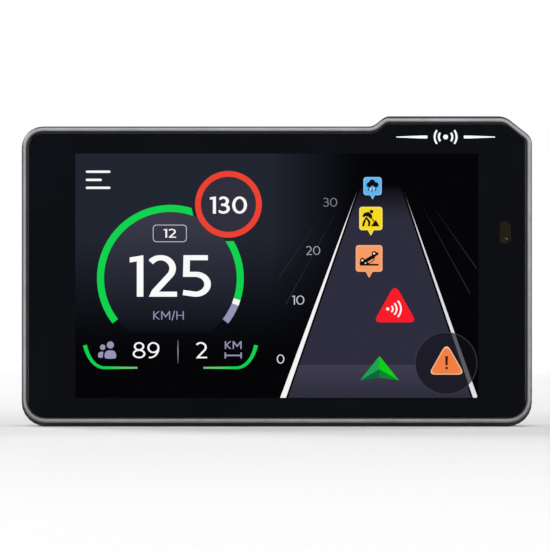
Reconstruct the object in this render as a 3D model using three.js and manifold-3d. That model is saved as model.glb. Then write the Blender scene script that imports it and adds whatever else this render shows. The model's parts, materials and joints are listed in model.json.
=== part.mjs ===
// A touch-screen driver-alert unit for a car, in millimetres, as an assembly of its separate pieces.
// It is drawn face up: +X to the right, +Y up the screen, +Z towards the driver, with the middle of
// the case's lower edge at x = 0, y = 0. The exported group stands it up, screen towards -Y.
import * as THREE from "three";
import { mergeVertices } from "three/addons/utils/BufferGeometryUtils.js";
import Module from "manifold-3d";

const wasm = await Module();
wasm.setup();

// ---- Driving dimensions ----------------------------------------------------------------------

// The display's picture and the black borders between it and the case's edge.
const SCREEN_W = 86.4;
const SCREEN_H = 52.4;
const SIDE_BORDER = 11.6;
const BOTTOM_BORDER = 6.15;
const TOP_BORDER = 5.85;

// The case: its depth, wall, and the outline's corners, with the tab that holds the power key.
const CASE_D = 17.0;
const WALL = 1.6;
const TAB_RISE = 2.2;
const TAB_W = 34.2; // from the slope's foot to the case's right side
const SLOPE_RUN = 2.8;
const CHAMFER_X = 5.8;
const CHAMFER_Y = 4.6;
const BOTTOM_R = 5.2;
const TOP_LEFT_R = 4.6;
const SLOPE_R = 2.6;
const CHAMFER_TOP_R = 4.3;
const CHAMFER_SIDE_R = 2.6;

// The back's soft edge: how far it comes in, and how deep it is.
const ROUND_IN = 6.5;
const ROUND_DEPTH = 7.5;
const ROUND_KEEP = 0.4; // share of an inset that a corner's radius loses on the soft edge

// The front bezel stands inside the case's outline by its own amount on each edge.
const BEZEL_SIDE_IN = 0.25;
const BEZEL_BOTTOM_IN = 0.75;
const BEZEL_TAB_IN = 0.45;
const BEZEL_DEPTH = 2.6; // from the seam to the crest
const RIM_W = 1.15; // from the bezel's edge to the glass
const CREST_OUT = 0.45; // where the crest starts and ends, from the bezel's edge
const CREST_IN = 0.65;
const RIM_SLOPE_DROP = 0.4;
const LEDGE_T = 0.8;
const LIP_T = 1.0;
const LIP_H = 1.0;

// The front stack.
const GLASS_DROP = 0.3; // the glass lies this far below the crest
const GLASS_T = 1.0;
const GASKET_T = 0.4;
const TOUCH_T = 0.4;
const LCD_T = 1.4;
const BACKLIGHT_T = 1.3;
const LCD_MARGIN_X = 3.05; // the display module past its picture, on each side
const LCD_MARGIN_Y = 2.8;
const TRAY_WALL = 0.4;
const WINDOW_R = 0.5; // corners of the bezel's and gasket's openings for the display
const FLEX_T = 0.2;

// The chassis, the board and what stands on them.
const CHASSIS_T = 1.0;
const BOARD_T = 1.0;
const BOARD_EDGE = 4.4; // the board's edge from the case's top and bottom edges
const BOARD_SIDE = 2.8; // its wings from the case's sides
const STANDOFF_H = 1.2;
const STANDOFF_R = 2.0;
const POST_R = 3.0;
const SHIELD_T = 0.3;

// Screws: four from the back, three in the board.
const CASE_SCREW = { shankR: 1.0, headR: 1.8, headH: 1.2, bite: 2.6, bore: 2.2, sunk: 2.0 };
const BOARD_SCREW = { shankR: 0.7, headR: 1.3, headH: 0.8, bite: 1.4 };

// The power key in the tab, and the switch behind it.
const KEY_L = 13.0;
const KEY_W = 3.4;
const KEY_SUNK = 0.1;
const KEY_TRAVEL = 0.4;
const KEY_FLANGE = 1.5;
const KEY_FLANGE_T = 0.8;
const STEM_L = 3.0;
const STEM_W = 1.5;
const SWITCH = { w: 4.8, h: 3.5, t: 1.7 };
const PLUNGER = { w: 2.0, t: 0.9, out: 0.6, inside: 1.0 };

// The loudspeaker, facing backwards.
const SPEAKER_R = 10.75;
const SPEAKER_D = 5.4;
const SPEAKER_RIM = 2.05; // the flat rim round the cone
const COIL_R = 3.7;
const MAGNET_R = 6.0;
const GRILLE_IN = 2.55; // the slotted field's edge, from the speaker's
const SLOT_W = 1.1;
const SLOT_PITCH = 2.3;

// The steel plate for a magnetic holder, let flush into the back with a groove round it.
const PLATE_R = 17.5;
const PLATE_T = 0.9;
const PLATE_GLUE_T = 0.2;
const PLATE_GROOVE = 1.5;

// The other pieces.
const USB = { w: 8.94, h: 3.2, l: 7.3, wall: 0.35, y: 20.0, set: 0.8 };
const BATTERY = { w: 38.0, t: 4.0, x: 13.8 };
const GNSS = { side: 18.0, t: 4.0, x: 24.8 };
const MODEM = { w: 22.0, h: 18.0, t: 2.0, x: 26.8 };
const PROCESSOR = { w: 24.0, h: 22.0, t: 1.0 };
const SIM = { w: 12.3, h: 8.8, t: 0.7, y: 43.5 };
const SIDE_ANTENNA = { w: 5.0, h: 20.0, t: 3.4, y: 38.0 };
const SENSOR = { w: 2.2, h: 4.6, x: 5.8, y: 41.6, t: 1.0 };
const MIC = { w: 3.5, h: 1.0, t: 2.65, x: 18.8, holeR: 0.6, bootT: 1.1, bootEdge: 0.15 };
const LABEL = { w: 22.0, h: 15.0, t: 0.2, x: 21.8, y: 22.0, r: 1.2 };
const LCD_FLEX = { w: 20.0, x: 20.0 };
const TOUCH_FLEX = { w: 8.0, x: 4.0 };

// Clearances: between fixed pieces, and between moving ones.
const FIT = 0.05;
const SIDE_FIT = 0.15;
const RUN = 0.15;

const ARC_STEPS = 6; // straight steps in a corner's arc
const ROUND_STEPS = 8; // rings on the back's soft edge
const ROUND_SIDES = 32; // sides of a round piece

// ---- Sizes worked out from those ---------------------------------------------------------------

const CASE_W = SCREEN_W + 2 * SIDE_BORDER;
const CASE_H = BOTTOM_BORDER + SCREEN_H + TOP_BORDER;
const HALF_W = CASE_W / 2;
const FRONT_Z = CASE_D / 2;
const BACK_Z = -CASE_D / 2;
const SEAM_Z = FRONT_Z - BEZEL_DEPTH;
const LEDGE_Z = SEAM_Z + LEDGE_T;
const INNER_BACK_Z = BACK_Z + WALL;
const ROUND_TOP_Z = BACK_Z + ROUND_DEPTH;

const GLASS_TOP_Z = FRONT_Z - GLASS_DROP;
const GLASS_BACK_Z = GLASS_TOP_Z - GLASS_T;
const TOUCH_BACK_Z = GLASS_BACK_Z - FIT - TOUCH_T;
const LCD_TOP_Z = TOUCH_BACK_Z - FIT;
const TRAY_BACK_Z = LCD_TOP_Z - LCD_T - BACKLIGHT_T - 3 * FIT - TRAY_WALL;
const CHASSIS_TOP_Z = TRAY_BACK_Z - 2 * FIT;
const CHASSIS_BACK_Z = CHASSIS_TOP_Z - CHASSIS_T;
const BOARD_TOP_Z = CHASSIS_BACK_Z - STANDOFF_H;
const BOARD_BACK_Z = BOARD_TOP_Z - BOARD_T;

const SCREEN_Y = BOTTOM_BORDER + SCREEN_H / 2;
const LCD_W = SCREEN_W + 2 * LCD_MARGIN_X;
const LCD_H = SCREEN_H + 2 * LCD_MARGIN_Y;
const BOARD_LOW = BOARD_EDGE;
const BOARD_HIGH = CASE_H - BOARD_EDGE;
const POST_IN = ROUND_IN + CASE_SCREW.bore + 0.6;
const POST_FOOT_Z = BOARD_BACK_Z - 0.9;
const SEAT_Y = CASE_H / 2 + 0.8;
const SEAT_R = PLATE_R + PLATE_GROOVE;
const SEAT_FLOOR_Z = BACK_Z + PLATE_T + PLATE_GLUE_T + 2 * FIT;
const KEY_X = HALF_W - (TAB_W - SLOPE_RUN + CHAMFER_X) / 2;
const TAB_TOP = CASE_H + TAB_RISE;
const SPEAKER_X = HALF_W - POST_IN - POST_R - SPEAKER_R - RUN + 0.4;
const SPEAKER_Y = ROUND_IN + SPEAKER_R + 1.0;
const FLANGE_TOP = TAB_TOP - WALL - 2 * FIT;
const STEM_FOOT = BOARD_HIGH - FIT + PLUNGER.out + FIT;
const BATTERY_TOP_Z = BOARD_BACK_Z - 1.2;
const KEY_Z = BOARD_TOP_Z + FIT + SWITCH.t / 2;
const MIC_Z = (BOARD_BACK_Z + BOARD_TOP_Z) / 2;
const USB_Z = BOARD_BACK_Z - FIT - USB.h / 2;
const CONE_R = SPEAKER_R - SPEAKER_RIM;
const GRILLE_R = SPEAKER_R - GRILLE_IN;
const CASE_SCREW_SEAT_Z = BACK_Z + CASE_SCREW.sunk - FIT;
const CASE_SCREW_REACH = POST_FOOT_Z + FIT - CASE_SCREW_SEAT_Z + CASE_SCREW.bite;
const BOARD_SCREW_REACH = BOARD_T + 2 * FIT + BOARD_SCREW.bite;
const GNSS_LOW = BOARD_HIGH - 0.5 - GNSS.side;

const POSTS = [
  [-HALF_W + POST_IN, POST_IN],
  [HALF_W - POST_IN, POST_IN],
  [-HALF_W + POST_IN, CASE_H - POST_IN],
  [HALF_W - POST_IN, CASE_H - POST_IN],
];
const GNSS_X = -HALF_W + GNSS.x + GNSS.side / 2;
const STANDOFFS = [
  [GNSS_X - GNSS.side / 2 - STANDOFF_R - 3.0, BOARD_HIGH - 3.0],
  [GNSS_X + GNSS.side / 2 + STANDOFF_R + 1.5, BOARD_HIGH - 3.0],
  [SPEAKER_X - SPEAKER_R - STANDOFF_R - 2.5, BOARD_LOW + 3.2],
];

// The case's outline, anticlockwise from the lower left: [x, y, corner radius].
const CASE_CORNERS = [
  [-HALF_W, 0, BOTTOM_R],
  [HALF_W, 0, BOTTOM_R],
  [HALF_W, TAB_TOP - CHAMFER_Y, CHAMFER_SIDE_R],
  [HALF_W - CHAMFER_X, TAB_TOP, CHAMFER_TOP_R],
  [HALF_W - TAB_W + SLOPE_RUN, TAB_TOP, SLOPE_R],
  [HALF_W - TAB_W, CASE_H, SLOPE_R],
  [-HALF_W, CASE_H, TOP_LEFT_R],
];
// The bezel's edges, in the same order: bottom, right, chamfer, tab, slope, top, left.
const BEZEL_IN = [
  BEZEL_BOTTOM_IN,
  BEZEL_SIDE_IN,
  BEZEL_SIDE_IN,
  BEZEL_TAB_IN,
  BEZEL_SIDE_IN,
  BEZEL_SIDE_IN,
  BEZEL_SIDE_IN,
];

// ---- Finishes ----------------------------------------------------------------------------------

const finish = (color, roughness, metalness = 0) =>
  new THREE.MeshStandardMaterial({ color, roughness, metalness });
const CASE_BLACK = finish(0x17181b, 0.55);
const GUNMETAL = finish(0x8c8e93, 0.35, 0.9);
const GLASS_BLACK = finish(0x0c0d10, 0.05);
const FOAM_BLACK = finish(0x101010, 0.9);
const CLEAR_FILM = finish(0x30343c, 0.2);
const LCD_DARK = finish(0x14161c, 0.2);
const DIFFUSER = finish(0xe8ebee, 0.6);
const STEEL = finish(0xb8babd, 0.35, 1.0);
const MAGNESIUM = finish(0x8a8d90, 0.5, 0.8);
const BOARD_GREEN = finish(0x14482c, 0.5);
const FLEX_AMBER = finish(0x9a5a1c, 0.4);
const CERAMIC = finish(0xd8cfb8, 0.5);
const BLACK_RUBBER = finish(0x0e0e0e, 0.8);
const KEY_BLACK = finish(0x1d1e21, 0.45);
const CONE_GREY = finish(0x2a2b2d, 0.7);
const FERRITE = finish(0x3a3b3d, 0.5, 0.6);
const POUCH_SILVER = finish(0xaeb2b6, 0.4, 0.6);
const LEAD_RED = finish(0xa01818, 0.5);
const CARD_WHITE = finish(0xe6e4de, 0.6);
const GOLD = finish(0xd8a840, 0.3, 1.0);
const SENSOR_TINT = finish(0x2a2418, 0.15);
const LABEL_GREY = finish(0x26272a, 0.5);

// ---- Shape helpers -----------------------------------------------------------------------------

// A closed outline from corners taken anticlockwise, each [x, y, radius]. Each edge moves inwards by
// its inset, and a corner's radius loses `keep` of that, or gains it where the outline turns inwards.
function outline(corners, insets = 0, keep = 1) {
  const n = corners.length;
  const insetOf = (i) => (Array.isArray(insets) ? insets[i] : insets);
  const edges = corners.map(([x, y], i) => {
    const [endX, endY] = corners[(i + 1) % n];
    const along = new THREE.Vector2(endX - x, endY - y).normalize();
    const inwards = new THREE.Vector2(-along.y, along.x);
    return { from: new THREE.Vector2(x, y).addScaledVector(inwards, insetOf(i)), along };
  });
  const points = [];
  corners.forEach(([, , cornerR], i) => {
    const before = edges[(i + n - 1) % n];
    const after = edges[i];
    const turn = before.along.cross(after.along);
    const apart = after.from.clone().sub(before.from);
    const vertex = before.from
      .clone()
      .addScaledVector(before.along, apart.cross(after.along) / turn);
    const inset = Math.min(insetOf((i + n - 1) % n), insetOf(i));
    const radius = Math.max(cornerR - Math.sign(turn) * inset * keep, Math.min(cornerR, 0.3));
    const angle = Math.atan2(turn, before.along.dot(after.along));
    const start = vertex
      .clone()
      .addScaledVector(before.along, -radius * Math.tan(Math.abs(angle) / 2));
    const side = Math.sign(angle) * radius;
    const centre = new THREE.Vector2(
      start.x - before.along.y * side,
      start.y + before.along.x * side,
    );
    for (let k = 0; k <= ARC_STEPS; k++)
      points.push(start.clone().rotateAround(centre, (angle * k) / ARC_STEPS));
  });
  return points;
}

// A closed body through rings of points, each { points, z }, from the lowest z to the highest.
function loft(rings) {
  const n = rings[0].points.length;
  const position = rings.flatMap(({ points, z }) => points.flatMap((p) => [p.x, p.y, z]));
  const index = [];
  for (let r = 0; r + 1 < rings.length; r++)
    for (let i = 0; i < n; i++) {
      const a = r * n + i;
      const b = r * n + ((i + 1) % n);
      index.push(a, b, b + n, a, b + n, a + n);
    }
  const capOf = (ring) => THREE.ShapeUtils.triangulateShape(rings[ring].points, []);
  const top = (rings.length - 1) * n;
  for (const [a, b, c] of capOf(0)) index.push(c, b, a);
  for (const [a, b, c] of capOf(rings.length - 1)) index.push(top + a, top + b, top + c);
  return new THREE.BufferGeometry()
    .setAttribute("position", new THREE.Float32BufferAttribute(position, 3))
    .setIndex(index);
}

// A flat piece with an outline of points, between two heights.
const plate = (points, low, high) =>
  loft([
    { points, z: low },
    { points, z: high },
  ]);

// The corners of a rounded rectangle about a point, for outline().
const rectangle = (w, h, r = 0.3, x = 0, y = 0) => [
  [x - w / 2, y - h / 2, r],
  [x + w / 2, y - h / 2, r],
  [x + w / 2, y + h / 2, r],
  [x - w / 2, y + h / 2, r],
];
const block = (w, h, low, high, x = 0, y = 0) =>
  new THREE.BoxGeometry(w, h, high - low).translate(x, y, (low + high) / 2);
const roundedPlate = (w, h, r, low, high, x = 0, y = 0) =>
  plate(outline(rectangle(w, h, r, x, y)), low, high);
const disc = (r, low, high, x = 0, y = 0, sides = ROUND_SIDES) =>
  new THREE.CylinderGeometry(r, r, high - low, sides)
    .rotateX(Math.PI / 2)
    .translate(x, y, (low + high) / 2);

// A round piece about the Z axis, from a closed profile of [radius, z] points taken anticlockwise.
const turned = (profile, sides = ROUND_SIDES) =>
  new THREE.LatheGeometry(
    [...profile, profile[0]].map(([r, z]) => new THREE.Vector2(r, z)),
    sides,
  ).rotateX(Math.PI / 2);

function solidOf(geometry) {
  const bare = geometry.clone();
  bare.deleteAttribute("normal");
  bare.deleteAttribute("uv");
  const merged = mergeVertices(bare, 1e-4);
  return new wasm.Manifold(
    new wasm.Mesh({
      numProp: 3,
      vertProperties: merged.attributes.position.array,
      triVerts: new Uint32Array(merged.index.array),
    }),
  );
}

function geometryOf(solid) {
  const { vertProperties, triVerts } = solid.getMesh();
  return new THREE.BufferGeometry()
    .setAttribute("position", new THREE.BufferAttribute(vertProperties, 3))
    .setIndex(new THREE.BufferAttribute(triVerts, 1));
}

const join = (first, ...more) =>
  geometryOf(more.reduce((solid, g) => solid.add(solidOf(g)), solidOf(first)));
const cut = (first, ...tools) =>
  geometryOf(tools.reduce((solid, g) => solid.subtract(solidOf(g)), solidOf(first)));

const device = new THREE.Group();
device.rotation.x = Math.PI / 2;

// Adds a piece to the device, its geometry placed at a point.
function add(name, geometry, material, x = 0, y = 0, z = 0) {
  const mesh = new THREE.Mesh(geometry, material);
  mesh.name = name;
  mesh.position.set(x, y, z);
  device.add(mesh);
}

// ---- The case ----------------------------------------------------------------------------------

// Rings of the soft back, from its flat face up to where the straight wall starts.
function softBack(flatZ, edgeIn, flatIn) {
  return Array.from({ length: ROUND_STEPS + 1 }, (_, k) => {
    const t = (Math.PI / 2) * (1 - k / ROUND_STEPS);
    return {
      points: outline(CASE_CORNERS, edgeIn + (flatIn - edgeIn) * (1 - Math.cos(t)), ROUND_KEEP),
      z: ROUND_TOP_Z - (ROUND_TOP_Z - flatZ) * Math.sin(t),
    };
  });
}

// The loudspeaker's slots, which fill a round field.
function grilleSlots() {
  const across = Math.floor(GRILLE_R / SLOT_PITCH);
  const slots = [];
  for (let k = -across; k <= across; k++) {
    const offset = k * SLOT_PITCH;
    const length = 2 * Math.sqrt(GRILLE_R ** 2 - offset ** 2);
    slots.push(
      roundedPlate(
        length,
        SLOT_W,
        SLOT_W / 2 - 0.01,
        BACK_Z - 1,
        INNER_BACK_Z + 1,
        SPEAKER_X,
        SPEAKER_Y + offset,
      ),
    );
  }
  return slots;
}

function rearCover() {
  const edgeChamfer = 0.2;
  const outer = loft([
    ...softBack(BACK_Z, 0, ROUND_IN),
    { points: outline(CASE_CORNERS), z: SEAM_Z - FIT - edgeChamfer },
    { points: outline(CASE_CORNERS, edgeChamfer), z: SEAM_Z - FIT },
  ]);
  const hollow = loft([
    ...softBack(INNER_BACK_Z, WALL, ROUND_IN),
    { points: outline(CASE_CORNERS, WALL), z: SEAM_Z + 1 },
  ]);
  const seatBoss = disc(SEAT_R + WALL, BACK_Z + 0.5, SEAT_FLOOR_Z + WALL, 0, SEAT_Y, 48);
  const posts = POSTS.map(([x, y]) => disc(POST_R, BACK_Z + 0.5, POST_FOOT_Z, x, y));
  const speakerWall = cut(
    disc(SPEAKER_R + RUN + 0.8, BACK_Z + 0.5, INNER_BACK_Z + 2, SPEAKER_X, SPEAKER_Y),
    disc(SPEAKER_R + RUN, BACK_Z, INNER_BACK_Z + 3, SPEAKER_X, SPEAKER_Y),
  );
  const shell = join(cut(outer, hollow), seatBoss, ...posts, speakerWall);
  const screwHoles = POSTS.flatMap(([x, y]) => [
    disc(CASE_SCREW.shankR + RUN, BACK_Z - 1, POST_FOOT_Z + 1, x, y, 16),
    disc(CASE_SCREW.bore, BACK_Z - 1, BACK_Z + CASE_SCREW.sunk, x, y),
  ]);
  const seat = disc(SEAT_R, BACK_Z - 1, SEAT_FLOOR_Z, 0, SEAT_Y, 48);
  const labelRecess = roundedPlate(
    LABEL.w + 2 * SIDE_FIT,
    LABEL.h + 2 * SIDE_FIT,
    LABEL.r + SIDE_FIT,
    BACK_Z - 1,
    BACK_Z + LABEL.t + FIT,
    -HALF_W + LABEL.x,
    LABEL.y,
  );
  const usbMouth = plate(
    outline(rectangle(USB.h + 4 * SIDE_FIT, USB.w + 4 * SIDE_FIT, USB.h / 2)),
    -3 * WALL,
    WALL,
  )
    .rotateY(Math.PI / 2)
    .translate(-HALF_W + WALL, USB.y, USB_Z);
  const keyMouth = plate(
    outline(rectangle(KEY_L + 2 * SIDE_FIT, KEY_W + 2 * SIDE_FIT, KEY_W / 2 + SIDE_FIT - 0.01)),
    -WALL,
    2 * WALL,
  )
    .rotateX(-Math.PI / 2)
    .translate(KEY_X, TAB_TOP - WALL, KEY_Z);
  const micHole = new THREE.CylinderGeometry(MIC.holeR, MIC.holeR, 3 * WALL, 16).translate(
    -HALF_W + MIC.x,
    WALL / 2,
    MIC_Z,
  );
  add(
    "rear_cover",
    cut(shell, ...screwHoles, seat, labelRecess, usbMouth, keyMouth, micHole, ...grilleSlots()),
    CASE_BLACK,
  );
}

// The bezel's edge or a line inside it, offset from the case's outline.
const bezelLine = (further) =>
  outline(
    CASE_CORNERS,
    BEZEL_IN.map((inset) => inset + further),
  );
const windowHole = (grow, low, high) =>
  roundedPlate(LCD_W + 2 * grow, LCD_H + 2 * grow, WINDOW_R, low, high, 0, SCREEN_Y);
const sensorHole = (grow, low, high) =>
  roundedPlate(
    SENSOR.w + 2 * grow,
    SENSOR.h + 2 * grow,
    SENSOR.w / 2 + grow - 0.01,
    low,
    high,
    HALF_W - SENSOR.x,
    SENSOR.y,
  );

function frontBezel() {
  const edgeRound = 0.6; // height of the rounded outer edge
  const steps = 4;
  const rounding = Array.from({ length: steps + 1 }, (_, k) => {
    const t = (Math.PI / 2) * (k / steps);
    return {
      points: bezelLine(CREST_OUT * (1 - Math.cos(t))),
      z: FRONT_Z - edgeRound * (1 - Math.sin(t)),
    };
  });
  const body = loft([{ points: bezelLine(0), z: SEAM_Z }, ...rounding]);
  const pocket = loft([
    { points: bezelLine(RIM_W), z: LEDGE_Z },
    { points: bezelLine(RIM_W - 0.05), z: FRONT_Z - RIM_SLOPE_DROP },
    { points: bezelLine(CREST_IN), z: FRONT_Z },
    { points: bezelLine(CREST_IN - 0.05), z: FRONT_Z + 0.1 },
  ]);
  const lipOut = WALL + SIDE_FIT;
  const lip = cut(
    plate(outline(CASE_CORNERS, lipOut), SEAM_Z - LIP_H, SEAM_Z + LEDGE_T / 2),
    plate(outline(CASE_CORNERS, lipOut + LIP_T), SEAM_Z - LIP_H - 1, SEAM_Z + 1),
  );
  add(
    "front_bezel",
    cut(
      join(cut(body, pocket), lip),
      windowHole(2 * SIDE_FIT, SEAM_Z - LIP_H - 1, FRONT_Z),
      sensorHole(SIDE_FIT, SEAM_Z - 1, FRONT_Z),
    ),
    GUNMETAL,
  );
}

// ---- The front stack ---------------------------------------------------------------------------

function glassAndGasket() {
  const glassLine = bezelLine(RIM_W + FIT);
  add("front_glass", plate(glassLine, GLASS_BACK_Z, GLASS_TOP_Z), GLASS_BLACK);
  const gasketTop = GLASS_BACK_Z - FIT;
  add(
    "glass_gasket",
    cut(
      plate(bezelLine(RIM_W + 2 * SIDE_FIT), LEDGE_Z + FIT, gasketTop),
      windowHole(3 * SIDE_FIT, LEDGE_Z - 1, gasketTop + 1),
      sensorHole(SIDE_FIT, LEDGE_Z - 1, gasketTop + 1),
    ),
    FOAM_BLACK,
  );
}

function displayStack() {
  const insideW = LCD_W - 2 * TRAY_WALL;
  const insideH = LCD_H - 2 * TRAY_WALL;
  const lcdBack = LCD_TOP_Z - LCD_T;
  const lightTop = lcdBack - FIT;
  add(
    "touch_sensor",
    block(LCD_W, LCD_H, TOUCH_BACK_Z, GLASS_BACK_Z - FIT),
    CLEAR_FILM,
    0,
    SCREEN_Y,
  );
  add(
    "lcd_panel",
    block(insideW - 2 * SIDE_FIT, insideH - 2 * SIDE_FIT, lcdBack, LCD_TOP_Z),
    LCD_DARK,
    0,
    SCREEN_Y,
  );
  add(
    "backlight",
    block(insideW - 2 * SIDE_FIT, insideH - 2 * SIDE_FIT, lightTop - BACKLIGHT_T, lightTop),
    DIFFUSER,
    0,
    SCREEN_Y,
  );
  const tray = cut(
    block(LCD_W, LCD_H, TRAY_BACK_Z, LCD_TOP_Z),
    block(insideW, insideH, TRAY_BACK_Z + TRAY_WALL, LCD_TOP_Z + 1),
    block(LCD_FLEX.w + 1, 4, lcdBack, LCD_TOP_Z + 1, -LCD_FLEX.x, -LCD_H / 2),
    block(TOUCH_FLEX.w + 1, 4, lcdBack, LCD_TOP_Z + 1, TOUCH_FLEX.x, -LCD_H / 2),
  );
  add("lcd_frame", tray, STEEL, 0, SCREEN_Y);
}

// A flat cable that leaves the display's lower edge, turns down past the board and ends behind it.
function flexCable(name, width, x, startZ) {
  const startY = SCREEN_Y - LCD_H / 2 + TRAY_WALL + SIDE_FIT - FIT;
  const downY = SCREEN_Y - LCD_H / 2 - 2 * FIT - FLEX_T;
  const backZ = BOARD_BACK_Z - SIDE_FIT - FLEX_T;
  const endY = BOARD_LOW + 3.4;
  const bend = 0.5;
  // The band's section in the plane of depth and height, [-depth, height], anticlockwise.
  const section = [
    [-startZ, startY, 0.05],
    [-startZ, downY, bend + FLEX_T],
    [-backZ, downY, bend + FLEX_T],
    [-backZ, endY, 0.05],
    [-backZ - FLEX_T, endY, 0.05],
    [-backZ - FLEX_T, downY + FLEX_T, bend],
    [-startZ + FLEX_T, downY + FLEX_T, bend],
    [-startZ + FLEX_T, startY, 0.05],
  ];
  const band = plate(outline(section), -width / 2, width / 2).rotateY(Math.PI / 2);
  add(name, band, FLEX_AMBER, x);
}

// The stub of tinted plastic behind the sensor's window, and the sensor under it.
function lightSensor() {
  const x = HALF_W - SENSOR.x;
  const chipTop = CHASSIS_TOP_Z + FIT + SENSOR.t;
  add("sensor_lens", sensorHole(0, chipTop + FIT, GLASS_BACK_Z - FIT), SENSOR_TINT);
  add(
    "light_sensor",
    block(SENSOR.w + 0.8, SENSOR.h + 0.6, CHASSIS_TOP_Z + FIT, chipTop),
    BOARD_GREEN,
    x,
    SENSOR.y,
  );
}

// ---- Chassis and board -------------------------------------------------------------------------

function chassis() {
  const edge = WALL + 2 * SIDE_FIT;
  const bosses = POSTS.map(([x, y]) =>
    disc(POST_R - 0.3, POST_FOOT_Z + FIT, CHASSIS_TOP_Z, x, y, 24),
  );
  const standoffs = STANDOFFS.map(([x, y]) =>
    disc(STANDOFF_R, BOARD_TOP_Z + FIT, CHASSIS_TOP_Z, x, y, 20),
  );
  const pilots = POSTS.map(([x, y]) =>
    disc(CASE_SCREW.shankR + FIT, POST_FOOT_Z - 1, CHASSIS_TOP_Z - 0.6, x, y, 16),
  );
  const boardPilots = STANDOFFS.map(([x, y]) =>
    disc(BOARD_SCREW.shankR + FIT, BOARD_TOP_Z - 1, CHASSIS_TOP_Z - 0.4, x, y, 16),
  );
  const low = CHASSIS_BACK_Z - 1;
  const high = CHASSIS_TOP_Z + 1;
  const flangeW = KEY_L + 2 * KEY_FLANGE + 1.5;
  const flexGap = BOARD_LOW + 1.5;
  const openings = [
    block(flangeW, 12, low, high, KEY_X, STEM_FOOT + 6),
    block(SWITCH.w + 2, 12, low, high, KEY_X, BOARD_HIGH - SWITCH.h - 1 + 6),
    block(LCD_FLEX.w + 2, flexGap, low, high, -LCD_FLEX.x, flexGap / 2),
    block(TOUCH_FLEX.w + 2, flexGap, low, high, TOUCH_FLEX.x, flexGap / 2),
  ];
  const sheet = plate(outline(CASE_CORNERS, edge), CHASSIS_BACK_Z, CHASSIS_TOP_Z);
  add(
    "chassis",
    cut(join(cut(sheet, ...openings), ...bosses, ...standoffs), ...pilots, ...boardPilots),
    MAGNESIUM,
  );
}

function mainBoard() {
  const notch = POST_IN + POST_R + 0.5;
  const wide = block(
    CASE_W - 2 * BOARD_SIDE,
    CASE_H - 2 * notch - 1,
    BOARD_BACK_Z,
    BOARD_TOP_Z,
    0,
    CASE_H / 2,
  );
  const tall = block(
    CASE_W - 2 * notch,
    BOARD_HIGH - BOARD_LOW,
    BOARD_BACK_Z,
    BOARD_TOP_Z,
    0,
    CASE_H / 2,
  );
  const holes = STANDOFFS.map(([x, y]) =>
    disc(BOARD_SCREW.shankR + RUN, BOARD_BACK_Z - 1, BOARD_TOP_Z + 1, x, y, 16),
  );
  add("main_board", cut(join(wide, tall), ...holes), BOARD_GREEN);
}

// A pressed-steel can, open towards the board.
function shieldCan(name, { w, h, t }, x, y, boardZ, side) {
  const can = cut(
    block(w, h, 0, t),
    block(w - 2 * SHIELD_T, h - 2 * SHIELD_T, -1, t - SHIELD_T),
  );
  if (side < 0) can.rotateX(Math.PI);
  add(name, can, STEEL, x, y, boardZ + side * FIT);
}

function shieldCans() {
  shieldCan(
    "modem_shield",
    MODEM,
    HALF_W - MODEM.x - MODEM.w / 2,
    BOARD_HIGH - 1.5 - MODEM.h / 2,
    BOARD_BACK_Z,
    -1,
  );
  shieldCan("processor_shield", PROCESSOR, 0, CASE_H / 2, BOARD_TOP_Z, 1);
}

function simSocket() {
  const x = HALF_W - POST_IN - SIM.w / 2 - 1.0;
  const wall = 0.5;
  const top = BOARD_BACK_Z - FIT;
  const back = top - SIM.t - 2 * FIT - 2 * wall;
  const cardTop = top - wall - FIT;
  const socket = cut(
    block(SIM.w + 1, SIM.h + 2 * wall + 2 * SIDE_FIT, back, top),
    block(SIM.w + 2, SIM.h + 2 * SIDE_FIT, cardTop - SIM.t - FIT, cardTop + FIT, 1 + wall),
  );
  add("sim_socket", socket, STEEL, x, SIM.y);
  const cutCorner = 2.0;
  const card = [
    [-SIM.w / 2, -SIM.h / 2, 0.4],
    [SIM.w / 2, -SIM.h / 2, 0.4],
    [SIM.w / 2, SIM.h / 2, 0.4],
    [-SIM.w / 2 + cutCorner, SIM.h / 2, 0.4],
    [-SIM.w / 2, SIM.h / 2 - cutCorner, 0.4],
  ];
  add("sim_card", plate(outline(card), cardTop - SIM.t, cardTop), CARD_WHITE, x + 2 * wall, SIM.y);
}

// ---- Connector, key and switch -----------------------------------------------------------------

// The connector hangs behind the board's left wing.
function usbPort() {
  const stadium = (w, h, r) => outline(rectangle(h, w, r));
  const barrel = cut(
    plate(stadium(USB.w, USB.h, USB.h / 2 - 0.01), 0, USB.l),
    plate(
      stadium(USB.w - 2 * USB.wall, USB.h - 2 * USB.wall, USB.h / 2 - USB.wall - 0.01),
      -1,
      USB.l - 1,
    ),
  ).rotateY(Math.PI / 2);
  const mouthX = -HALF_W + USB.set;
  add("usb_shell", barrel, STEEL, mouthX, USB.y, USB_Z);
  const tongueL = USB.l - 1.6;
  add(
    "usb_tongue",
    new THREE.BoxGeometry(tongueL, USB.w - 2.3, 0.7),
    BLACK_RUBBER,
    mouthX + USB.l - 1 - FIT - tongueL / 2,
    USB.y,
    USB_Z,
  );
}

// A long shape about the key's axis, which runs along Y, between two heights.
const keyShape = (l, w, r, low, high) =>
  plate(outline(rectangle(l, w, r)), -high, -low).rotateX(Math.PI / 2);

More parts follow.
